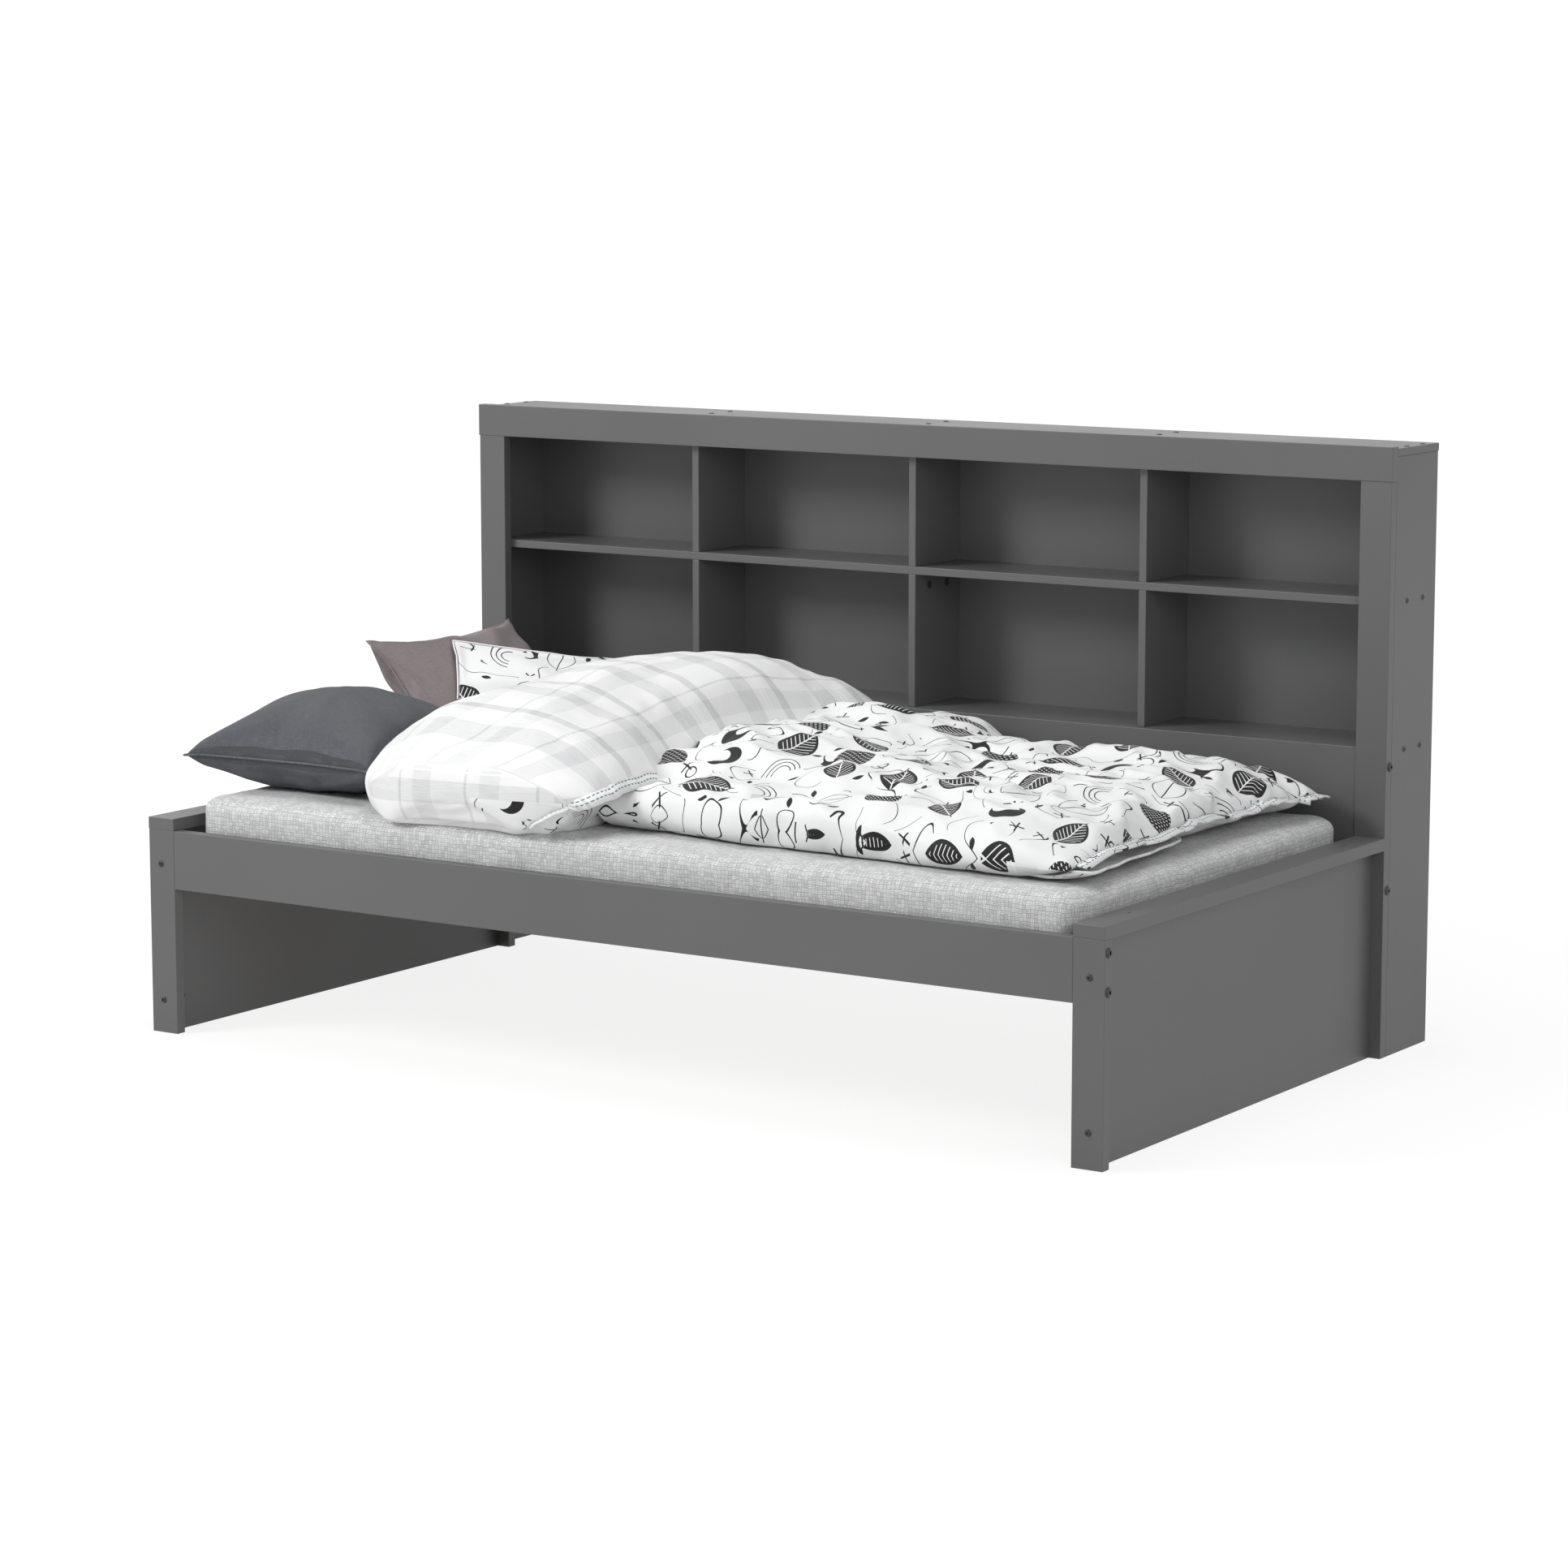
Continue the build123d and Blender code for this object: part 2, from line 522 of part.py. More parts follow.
def cushion(name, seam, width, height, crown, belly, bounds):
    """A stuffed cushion crowned on both sides of its seam plane, flat where it meets one of its bounds."""
    with BuildPart() as piece:
        for rise in (crown, -belly):
            for share, spread, pull, roundness in cushion_levels:
                corner = roundness * spread * min(width, height) / 2
                with BuildSketch(seam.offset(rise * share)):
                    add(soft_outline(width / 2 * spread, height / 2 * spread, cushion_nip * pull, corner))
            loft()
        for bound in bounds:
            split(bisect_by=bound, keep=Keep.TOP)
    keep(piece, name)


def seam_plane(place, turn, lean, roll=0.0):
    """The plane of a cushion's seam: its face turned about Z and leaning back from lying flat."""
    turned = radians(turn)
    leaned = radians(lean)
    facing = (sin(leaned) * cos(turned), sin(leaned) * sin(turned), cos(leaned))
    plane = Plane(origin=place, x_dir=(-sin(turned), cos(turned), 0), z_dir=facing)
    return plane.rotated((0, 0, roll))


# Mattress, with swelling sides and a crowned top: heights above the slats, and how far each level draws in
mattress_levels = ((0.0, 14.0), (12.0, 2.0), (70.0, 0.0), (128.0, 4.0), (mattress_height, 26.0))
mattress_middle = Plane(origin=(mattress_shift, bed_front_y + mattress_width / 2, mattress_bottom))
with BuildPart() as mattress:
    for rise, draw in mattress_levels:
        with BuildSketch(mattress_middle.offset(rise)):
            RectangleRounded(mattress_length - 2 * draw, mattress_width - 2 * draw,
                             mattress_corner - draw / 2)
    loft()
    split(bisect_by=mattress_middle.offset(mattress_height), keep=Keep.BOTTOM)
keep(mattress, "mattress")

# Three cushions at the left end: a slate one lying flat, a mauve one leaning back, a printed one against it
resting = Plane.XY.offset(bedding_z)
before_case = Plane(origin=(0, stile_front_y - soft_gap, 0), z_dir=(0, -1, 0))
slate_y = bed_front_y + slate_place[1] * spread_share
slate_seam = seam_plane((slate_place[0], slate_y, bedding_z + slate_belly), slate_turn, 0)
cushion("slate_cushion", slate_seam, slate_size, slate_size, slate_crown, slate_belly, [resting])
mauve_middle = Vector(mauve_place[0], bed_front_y + mauve_place[1] * spread_share, bedding_z + mauve_place[2])
mauve_seam = seam_plane(mauve_middle, mauve_turn, mauve_lean)
print_seam = seam_plane(mauve_middle + Vector(*print_offset), print_turn, print_lean, print_roll)
contact = Plane(origin=mauve_middle + Vector(*contact_offset), z_dir=mauve_seam.z_dir + print_seam.z_dir)
behind_contact = Plane(origin=contact.origin, z_dir=contact.z_dir * -1)
cushion("mauve_cushion", mauve_seam, mauve_width, mauve_height, mauve_crown, mauve_crown,
        [resting, before_case, behind_contact])
cushion("print_cushion", print_seam, print_width, print_height, print_crown, print_crown,
        [resting, before_case, contact.offset(soft_gap)])

# Duvet: slices across the bed, with x, the front and back edges, and five heights from front to back
duvet_slices = (
    (-80.0, 103.0, 995.0, (60.0, 105.0, 120.0, 120.0, 95.0)),
    (100.0, 98.0, 1003.0, (74.0, 118.0, 128.0, 134.0, 112.0)),
    (200.0, 85.0, 1001.0, (70.0, 108.0, 116.0, 126.0, 104.0)),
    (300.0, 78.0, 990.0, (66.0, 96.0, 106.0, 88.0, 52.0)),
    (420.0, 68.0, 993.0, (68.0, 92.0, 94.0, 84.0, 60.0)),
    (560.0, 61.0, 998.0, (68.0, 86.0, 88.0, 92.0, 82.0)),
    (700.0, 55.0, 1001.0, (64.0, 84.0, 92.0, 96.0, 88.0)),
    (820.0, 58.0, 1001.0, (58.0, 76.0, 82.0, 84.0, 74.0)),
    (900.0, 62.0, 999.0, (40.0, 54.0, 60.0, 60.0, 52.0)),
    (940.0, 84.0, 985.0, (16.0, 22.0, 24.0, 26.0, 22.0)),
)
# Turned-back head of the duvet: y, the left and right edges, the crest's place and its height
fold_slices = (
    (-14.0, -470.0, -110.0, -290.0, 46.0),
    (18.0, -545.0, -40.0, -310.0, 135.0),
    (90.0, -558.0, -25.0, -330.0, 182.0),
    (220.0, -562.0, -30.0, -340.0, 204.0),
    (380.0, -562.0, -60.0, -330.0, 218.0),
    (570.0, -545.0, -60.0, -300.0, 232.0),
    (770.0, -446.0, -20.0, -250.0, 222.0),
    (920.0, -360.0, 20.0, -200.0, 190.0),
    (985.0, -340.0, 20.0, -160.0, 136.0),
    (1006.0, -280.0, 0.0, -140.0, 70.0),
)
with BuildPart() as duvet:
    for x, front, back, heights in duvet_slices:
        near = front * spread_share
        far = back * spread_share
        lip =min(heights[0], heights[-1]) * duvet_lip_share
        steps = len(heights) - 1
        reach = far - near - 2 * lip
        tops = [(near + lip + reach * step / steps, heights[step]) for step in range(steps, -1, -1)]
        with BuildSketch(Plane(origin=(x, bed_front_y, bedding_z), x_dir=(0, 1, 0), z_dir=(1, 0, 0))):
            with BuildLine():
                Line((near + lip, -duvet_trim), (far - lip, -duvet_trim))
                ThreePointArc((far - lip, -duvet_trim), (far, (heights[-1] - duvet_trim) / 2), tops[0])
                for first, last in zip(tops, tops[1:]):
                    middle = ((first[0] + last[0]) / 2, (first[1] + last[1]) / 2 + duvet_puff)
                    ThreePointArc(first, middle, last)
                ThreePointArc(tops[-1], (near, (heights[0] - duvet_trim) / 2), (near + lip, -duvet_trim))
            make_face()
    loft(ruled=True)
    for y, left, right, crest, height in fold_slices:
        foot_left = (left + height * fold_tuck_share, -fold_trim)
        foot_right = (right, -fold_trim)
        shoulder = (left + height * fold_shoulder_tuck, height * fold_shoulder_share)
        nose = (right - height * fold_nose_tuck, height * fold_nose_share)
        swell = (right + height * fold_nose_swell, (nose[1] - fold_trim) / 2)
        slice_y = bed_front_y + y * spread_share
        with BuildSketch(Plane(origin=(0, slice_y, bedding_z), x_dir=(1, 0, 0), z_dir=(0, -1, 0))):
            with BuildLine():
                Line(foot_left, foot_right)
                ThreePointArc(foot_right, swell, nose)
                ThreePointArc(nose, ((right + crest) / 2, height * fold_front_rise), (crest, height))
                ThreePointArc((crest, height), ((left + crest) / 2, height * fold_back_rise), shoulder)
                ThreePointArc(shoulder, (left, (shoulder[1] - fold_trim) / 2), foot_left)
            make_face()
    loft(ruled=True)
    split(bisect_by=resting, keep=Keep.TOP)
keep(duvet, "duvet")
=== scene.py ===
import bmesh
import bpy
import json
from math import atan2, cos, floor, pi, radians, sin, sqrt
from mathutils import Matrix, Vector, noise


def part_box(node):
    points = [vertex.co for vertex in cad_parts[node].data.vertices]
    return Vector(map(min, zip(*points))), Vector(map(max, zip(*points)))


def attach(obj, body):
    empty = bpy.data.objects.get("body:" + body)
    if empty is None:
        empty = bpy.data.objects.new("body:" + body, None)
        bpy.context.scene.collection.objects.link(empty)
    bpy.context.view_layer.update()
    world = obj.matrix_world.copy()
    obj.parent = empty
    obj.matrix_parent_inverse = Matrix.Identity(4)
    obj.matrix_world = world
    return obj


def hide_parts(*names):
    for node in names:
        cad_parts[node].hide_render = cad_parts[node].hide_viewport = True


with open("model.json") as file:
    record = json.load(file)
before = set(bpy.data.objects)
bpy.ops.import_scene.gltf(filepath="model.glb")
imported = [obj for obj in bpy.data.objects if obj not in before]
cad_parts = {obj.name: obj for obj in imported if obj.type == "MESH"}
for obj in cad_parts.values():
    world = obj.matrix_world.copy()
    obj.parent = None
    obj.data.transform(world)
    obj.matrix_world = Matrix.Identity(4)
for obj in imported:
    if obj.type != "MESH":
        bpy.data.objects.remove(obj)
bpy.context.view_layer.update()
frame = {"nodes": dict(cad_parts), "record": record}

# Camera, turned to the daybed's front right, a little above it
IMAGE = 1932
FOCAL_PIXELS = 5512.18
SENSOR = 36.0
CAMERA_RIGHT = 4.5342
CAMERA_BEFORE_RAIL = 6.3048
CAMERA_HEIGHT = 1.7615
CAMERA_PITCH = 0.1535
CAMERA_TURN = 0.5802
front_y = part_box("front_rail")[0].y
camera_data = bpy.data.cameras.new("camera")
camera_data.sensor_width = SENSOR
camera_data.lens = FOCAL_PIXELS / IMAGE * SENSOR
camera_data.clip_end = 60.0
camera = bpy.data.objects.new("camera", camera_data)
bpy.context.scene.collection.objects.link(camera)
camera.location = (CAMERA_RIGHT, front_y - CAMERA_BEFORE_RAIL, CAMERA_HEIGHT)
camera.rotation_euler = (pi / 2 - CAMERA_PITCH, 0.0, CAMERA_TURN)
bpy.context.scene.camera = camera
bpy.context.scene.view_settings.view_transform = "Standard"

# The mattress's front edge lies behind the rail's outer face by this much
BED_SETBACK = 0.027
bed_low, bed_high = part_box("mattress")
bed_top = bed_high.z
bed_front = front_y + BED_SETBACK
case_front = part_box("header")[0].y
# The quilt keeps this far from the bookcase, and its hems are this wide
CASE_GAP = 0.004
HEM_WIDTH = 0.022


class Shade:
    """Shader maths on one node tree."""

    def __init__(self, tree):
        self.tree = tree

    def node(self, kind, **settings):
        made = self.tree.nodes.new(kind)
        for key, value in settings.items():
            setattr(made, key, value)
        return made

    def put(self, socket, value):
        if isinstance(value, bpy.types.NodeSocket):
            self.tree.links.new(value, socket)
        else:
            socket.default_value = value

    def do(self, operation, *values):
        made = self.node("ShaderNodeMath", operation=operation)
        for socket, value in zip(made.inputs, values):
            self.put(socket, value)
        return made.outputs[0]

    def add(self, *values):
        total = values[0]
        for value in values[1:]:
            total = self.do("ADD", total, value)
        return total

    def sub(self, a, b):
        return self.do("SUBTRACT", a, b)

    def mul(self, *values):
        total = values[0]
        for value in values[1:]:
            total = self.do("MULTIPLY", total, value)
        return total

    def less(self, a, b):
        return self.do("LESS_THAN", a, b)

    def size(self, a):
        return self.do("ABSOLUTE", a)

    def most(self, *values):
        total = values[0]
        for value in values[1:]:
            total = self.do("MAXIMUM", total, value)
        return total

    def part(self, a):
        return self.do("FRACT", a)

    def uv(self, layer):
        split = self.node("ShaderNodeSeparateXYZ")
        self.put(split.inputs[0], self.node("ShaderNodeUVMap", uv_map=layer).outputs[0])
        return split.outputs[0], split.outputs[1]

    def place(self):
        split = self.node("ShaderNodeSeparateXYZ")
        self.put(split.inputs[0], self.node("ShaderNodeTexCoord").outputs["Object"])
        return split.outputs[0], split.outputs[1], split.outputs[2]

    def vector(self, x, y, z=0.0):
        made = self.node("ShaderNodeCombineXYZ")
        for socket, value in zip(made.inputs, (x, y, z)):
            self.put(socket, value)
        return made.outputs[0]

    def noise(self, vector, scale, detail=2.0, rough=0.5):
        made = self.node("ShaderNodeTexNoise")
        self.put(made.inputs["Vector"], vector)
        made.inputs["Scale"].default_value = scale
        made.inputs["Detail"].default_value = detail
        made.inputs["Roughness"].default_value = rough
        return made.outputs[0]

    def chance(self, x, y):
        made = self.node("ShaderNodeTexWhiteNoise", noise_dimensions="2D")
        self.put(made.inputs["Vector"], self.vector(x, y))
        split = self.node("ShaderNodeSeparateColor")
        self.put(split.inputs[0], made.outputs["Color"])
        return split.outputs[0], split.outputs[1], split.outputs[2]

    def blend(self, share, low, high):
        made = self.node("ShaderNodeMix", data_type="RGBA")
        self.put(made.inputs[0], share)
        self.put(made.inputs[6], low if isinstance(low, bpy.types.NodeSocket) else (*low, 1.0))
        self.put(made.inputs[7], high if isinstance(high, bpy.types.NodeSocket) else (*high, 1.0))
        return made.outputs[2]

    def span(self, value, low, high, to_low=0.0, to_high=1.0):
        made = self.node("ShaderNodeMapRange")
        self.put(made.inputs[0], value)
        for socket, number in zip(made.inputs[1:5], (low, high, to_low, to_high)):
            socket.default_value = number
        return made.outputs[0]


def material(name, paint, rough, sheen=0.0, metal=0.0, specular=0.5):
    """A material whose colour, height and roughness come from paint(shade)."""
    made = bpy.data.materials.new(name)
    made.use_nodes = True
    tree = made.node_tree
    surface = tree.nodes["Principled BSDF"]
    shade = Shade(tree)
    colour, height, distance, wear = paint(shade)
    shade.put(surface.inputs["Base Color"], colour)
    surface.inputs["Metallic"].default_value = metal
    surface.inputs["Sheen Weight"].default_value = sheen
    surface.inputs["Sheen Roughness"].default_value = 0.4
    surface.inputs["Specular IOR Level"].default_value = specular
    shade.put(surface.inputs["Roughness"], shade.span(wear, 0.3, 0.7, rough - 0.05, rough + 0.05))
    bump = shade.node("ShaderNodeBump")
    bump.inputs["Distance"].default_value = distance
    bump.inputs["Strength"].default_value = 1.0
    shade.put(bump.inputs["Height"], height)
    shade.put(surface.inputs["Normal"], bump.outputs[0])
    return made


def paint_grey(shade):
    place = shade.vector(*shade.place())
    wear = shade.noise(place, 2.2, 3.0)
    fine = shade.noise(place, 900.0, 2.0)
    colour = shade.blend(shade.span(wear, 0.3, 0.7), (0.098, 0.0985, 0.0995), (0.107, 0.1075, 0.1085))
    return colour, fine, 0.00006, wear


def paint_wood(shade):
    x, y, z = shade.place()
    warp = shade.noise(shade.vector(shade.mul(x, 9.0), shade.mul(y, 1.2), shade.mul(z, 9.0)), 3.0, 4.0)
    rings = shade.do("SINE", shade.add(shade.mul(x, 260.0), shade.mul(warp, 26.0)))
    pores = shade.noise(shade.vector(shade.mul(x, 60.0), shade.mul(y, 3.0), shade.mul(z, 60.0)), 14.0, 3.0)
    grain = shade.span(shade.add(rings, pores), -0.6, 1.8)
    colour = shade.blend(grain, (0.63, 0.44, 0.25), (0.44, 0.27, 0.13))
    return colour, pores, 0.0001, warp


def paint_black(shade):
    place = shade.vector(*shade.place())
    wear = shade.noise(place, 300.0, 2.0)
    colour = shade.blend(wear, (0.012, 0.012, 0.013), (0.03, 0.03, 0.031))
    return colour, wear, 0.00005, wear


def paint_zinc(shade):
    place = shade.vector(*shade.place())
    wear = shade.noise(place, 240.0, 3.0)
    colour = shade.blend(wear, (0.5, 0.5, 0.5), (0.72, 0.72, 0.71))
    return colour, wear, 0.00005, wear


def cloth(shade, u, v, thread, low, high, slub=60.0):
    """Plain weave with uneven threads: returns its colour, height and a slow change over the cloth."""
    warp = shade.do("SINE", shade.mul(u, 2 * pi / thread))
    weft = shade.do("SINE", shade.mul(v, 2 * pi / thread))
    over = shade.mul(warp, weft)
    long_threads = shade.noise(shade.vector(shade.mul(u, slub), shade.mul(v, slub * 22)), 1.0, 3.0)
    cross_threads = shade.noise(shade.vector(shade.mul(u, slub * 22), shade.mul(v, slub)), 1.0, 3.0)
    slow = shade.noise(shade.vector(u, v), 9.0, 3.0)
    tone = shade.add(shade.mul(long_threads, 0.45), shade.mul(cross_threads, 0.45), shade.mul(over, 0.06),
                     shade.mul(slow, 0.1))
    colour = shade.blend(shade.span(tone, 0.36, 0.66), low, high)
    return colour, shade.add(over, shade.mul(tone, 2.0)), slow


def paint_slate(shade):
    u, v = shade.uv("cloth")
    colour, height, slow = cloth(shade, u, v, 0.0016, (0.073, 0.078, 0.088), (0.155, 0.163, 0.182))
    return colour, height, 0.00035, slow


def paint_mauve(shade):
    u, v = shade.uv("cloth")
    colour, height, slow = cloth(shade, u, v, 0.0014, (0.26, 0.218, 0.226), (0.39, 0.335, 0.345), 30.0)
    return colour, height, 0.0003, slow


def paint_mattress(shade):
    u, v = shade.uv("cloth")
    cell = 0.0072
    sway = shade.noise(shade.vector(u, v), 38.0, 2.0)
    u = shade.add(u, shade.mul(sway, 0.012))
    v = shade.add(v, shade.mul(sway, 0.009))
    column = shade.do("FLOOR", shade.mul(u, 1 / cell))
    row = shade.do("FLOOR", shade.mul(v, 1 / cell))
    turned = shade.size(shade.do("MODULO", shade.add(column, row), 2.0))
    along_u = shade.size(shade.do("SINE", shade.mul(v, 2 * pi / cell)))
    along_v = shade.size(shade.do("SINE", shade.mul(u, 2 * pi / cell)))
    strands = shade.add(shade.mul(turned, along_u), shade.mul(shade.sub(1.0, turned), along_v))
    edge_u = shade.size(shade.do("SINE", shade.mul(u, pi / cell)))
    edge_v = shade.size(shade.do("SINE", shade.mul(v, pi / cell)))
    bulge = shade.mul(shade.do("POWER", shade.mul(edge_u, edge_v), 0.5), strands)
    fuzz = shade.noise(shade.vector(u, v), 420.0, 3.0)
    slow = shade.noise(shade.vector(u, v), 6.0, 3.0)
    knots = shade.chance(column, row)[0]
    tone = shade.add(shade.mul(bulge, 0.6), shade.mul(fuzz, 0.35), shade.mul(knots, 0.25))
    colour = shade.blend(shade.span(tone, 0.1, 1.0), (0.30, 0.302, 0.305), (0.80, 0.802, 0.805))
    return colour, tone, 0.0009, slow


def scattered(shade, u, v, cell, row_shift, first_column):
    """Cells in shifted rows: the place in a turned cell, its distance from the middle, and two chances."""
    row = shade.do("FLOOR", shade.mul(v, 1 / cell))
    across = shade.add(shade.mul(u, 1 / cell), shade.part(shade.mul(row, row_shift)))
    column = shade.do("FLOOR", across)
    turn, kind, other = shade.chance(shade.add(column, first_column), row)
    straight_x = shade.sub(shade.sub(across, column), 0.5)
    straight_y = shade.sub(shade.sub(shade.mul(v, 1 / cell), row), 0.5)
    angle = shade.mul(turn, 2 * pi)
    c = shade.do("COSINE", angle)
    s = shade.do("SINE", angle)
    x = shade.add(shade.mul(straight_x, c), shade.mul(straight_y, s))
    y = shade.sub(shade.mul(straight_y, c), shade.mul(straight_x, s))
    from_middle = shade.add(shade.mul(straight_x, straight_x), shade.mul(straight_y, straight_y))
    return x, y, from_middle, kind, other


def leaves(shade, x, y):
    """A filled leaf with clear veins, and an open one drawn by its rim and rib."""
    high = shade.size(y)
    bow = shade.sub(0.27, shade.mul(x, x, 1.5))
    inside = shade.less(high, bow)
    rib = shade.less(high, 0.011)
    vein = shade.less(shade.size(shade.sub(shade.part(shade.mul(shade.sub(x, high), 11.0)), 0.5)), 0.10)
    near_edge = shade.less(shade.sub(bow, 0.05), high)
    stem = shade.mul(shade.less(high, 0.010), shade.less(shade.size(shade.sub(x, 0.43)), 0.05))
    gaps = shade.most(rib, shade.mul(vein, shade.sub(1.0, near_edge)))
    full_leaf = shade.most(shade.mul(inside, shade.sub(1.0, gaps)), stem)
    rim = shade.less(shade.size(shade.sub(high, bow)), 0.010)
    open_leaf = shade.most(shade.mul(rim, shade.less(shade.size(x), 0.41)), shade.mul(rib, inside), stem)
    return full_leaf, open_leaf


def arches(shade, x, y):
    """Three thin arches, one inside the other."""
    below = shade.add(y, 0.17)
    reach = shade.do("SQRT", shade.add(shade.mul(x, x), shade.mul(below, below)))
    ring = shade.size(shade.sub(shade.part(shade.mul(shade.sub(reach, 0.04), 12.0)), 0.5))
    between = shade.mul(shade.less(reach, 0.36), shade.less(0.11, reach))
    return shade.mul(shade.less(ring, 0.11), between, shade.less(0.0, below))


def discs(shade, x, y):
    """A moon, which is a disc with a round bite, and a stone, which is a disc with clear specks."""
    disc = shade.less(shade.add(shade.mul(x, x), shade.mul(y, y)), 0.09)
    bite_x = shade.sub(x, 0.15)
    bite = shade.less(shade.add(shade.mul(bite_x, bite_x), shade.mul(y, y)), 0.05)
    moon = shade.mul(disc, shade.sub(1.0, bite))
    speck_x = shade.size(shade.sub(shade.part(shade.mul(x, 13.0)), 0.5))
    speck_y = shade.size(shade.sub(shade.part(shade.add(shade.mul(y, 17.0), shade.mul(x, 6.0))), 0.5))
    specks = shade.mul(shade.less(speck_x, 0.26), shade.less(speck_y, 0.14))
    stone = shade.mul(disc, shade.sub(1.0, specks))
    return moon, stone


def small_marks(shade, u, v):
    """Small crosses and seeds, left out of about a third of their cells."""
    thick, long, crosses = 0.035, 0.3, 0.4
    x, y, _, kind, there = scattered(shade, u, v, 0.045, 0.61, 40.0)
    dash = shade.mul(shade.less(shade.size(y), thick), shade.less(shade.size(x), long))
    cross = shade.most(dash, shade.mul(shade.less(shade.size(x), thick), shade.less(shade.size(y), long)))
    seed = shade.less(shade.size(y), shade.sub(0.11, shade.mul(x, x, 1.9)))
    mark = shade.add(shade.mul(shade.less(kind, crosses), cross), shade.mul(shade.less(crosses, kind), seed))
    return shade.mul(mark, shade.less(0.35, there))


def ink(shade, u, v):
    """Motifs in shifted rows, with small marks and thin contours between them: 1 where the cloth is inked."""
    x, y, from_middle, kind, size = scattered(shade, u, v, 0.122, 0.37, 0.0)
    grow = shade.add(1.0, shade.mul(size, 0.22))
    x = shade.mul(x, grow)
    y = shade.mul(y, grow)
    full_leaf, open_leaf = leaves(shade, x, y)
    moon, stone = discs(shade, x, y)
    picks = [(0.0, 0.40, full_leaf), (0.40, 0.54, open_leaf), (0.54, 0.70, arches(shade, x, y)),
             (0.70, 0.80, moon), (0.80, 1.0, stone)]
    motifs = 0.0
    for low, top, motif in picks:
        chosen = shade.mul(shade.less(low, kind), shade.less(kind, top))
        motifs = shade.add(motifs, shade.mul(chosen, motif))
    contour = shade.noise(shade.vector(u, v), 7.5, 1.0)
    levels = shade.size(shade.sub(shade.part(shade.mul(contour, 7.0)), 0.5))
    drawn = shade.mul(shade.less(levels, 0.022), shade.less(0.15, from_middle))
    return shade.most(motifs, drawn, shade.mul(small_marks(shade, u, v), shade.less(0.17, from_middle)))


def stitches(shade, across, along, colour):
    """Two rows of dashed stitches beside an edge, over the colour given."""
    first_row, second_row, half_thread = 0.009, 0.017, 0.0011
    stitches_per_metre, stitched_share = 95.0, 0.62
    rows = shade.add(shade.less(shade.size(shade.sub(across, first_row)), half_thread),
                     shade.less(shade.size(shade.sub(across, second_row)), half_thread))
    dashes = shade.less(shade.part(shade.mul(along, stitches_per_metre)), stitched_share)
    return shade.blend(shade.mul(rows, dashes), colour, (0.12, 0.2, 0.21))


def paint_print(shade):
    u, v = shade.uv("cloth")
    across, along = shade.uv("hem")
    fine = shade.noise(shade.vector(u, v), 900.0, 2.0)
    slow = shade.noise(shade.vector(u, v), 12.0, 3.0)
    white = shade.blend(slow, (0.74, 0.745, 0.75), (0.80, 0.80, 0.80))
    colour = shade.blend(ink(shade, u, v), white, (0.012, 0.012, 0.013))
    return stitches(shade, across, along, colour), fine, 0.00012, slow


def paint_lining(shade):
    u, v = shade.uv("cloth")
    across, along = shade.uv("hem")
    band_repeat, cross_repeat = 0.19, 0.15
    band_place = shade.part(shade.mul(v, 1 / band_repeat))
    bands = shade.add(shade.mul(shade.less(shade.size(shade.sub(band_place, 0.3)), 0.11), 0.45),
                      shade.mul(shade.less(shade.size(shade.sub(band_place, 0.72)), 0.05), 0.65))
    lines = shade.less(shade.size(shade.sub(shade.size(shade.sub(band_place, 0.52)), 0.022)), 0.007)
    cross_place = shade.part(shade.mul(u, 1 / cross_repeat))
    crosses = shade.add(shade.mul(shade.less(shade.size(shade.sub(cross_place, 0.5)), 0.14), 0.3),
                        shade.mul(shade.less(shade.size(shade.sub(cross_place, 0.85)), 0.02), 0.5))
    threads = shade.noise(shade.vector(shade.mul(u, 30.0), shade.mul(v, 800.0)), 1.0, 2.0)
    slow = shade.noise(shade.vector(u, v), 12.0, 3.0)
    grey = shade.mul(shade.add(0.1, bands, crosses), shade.span(threads, 0.3, 0.7, 0.55, 1.1), 0.9)
    grey = shade.mul(grey, shade.sub(1.0, lines))
    colour = shade.blend(grey, (0.83, 0.83, 0.83), (0.50, 0.505, 0.515))
    return stitches(shade, across, along, colour), threads, 0.0002, slow


looks = {
    "grey_paint": material("grey_paint", paint_grey, 0.42),
    "plain_wood": material("plain_wood", paint_wood, 0.6),
    "black_hardware": material("black_hardware", paint_black, 0.35),
    "zinc_hardware": material("zinc_hardware", paint_zinc, 0.32, metal=1.0),
    "mattress_cloth": material("mattress_cloth", paint_mattress, 0.85, sheen=0.1, specular=0.2),
    "slate_cloth": material("slate_cloth", paint_slate, 0.85, sheen=0.15, specular=0.2),
    "mauve_cloth": material("mauve_cloth", paint_mauve, 0.85, sheen=0.15, specular=0.2),
    "print_cloth": material("print_cloth", paint_print, 0.75, sheen=0.1, specular=0.25),
    "duvet_cloth": material("duvet_cloth", paint_print, 0.75, sheen=0.1, specular=0.25),
    "lining_cloth": material("lining_cloth", paint_lining, 0.75, sheen=0.1, specular=0.25),
}
for part in frame["record"]["subparts"]:
    carried = frame["nodes"][part["node"]]
    carried.data.materials.clear()
    carried.data.materials.append(looks[part["material_slot"]])


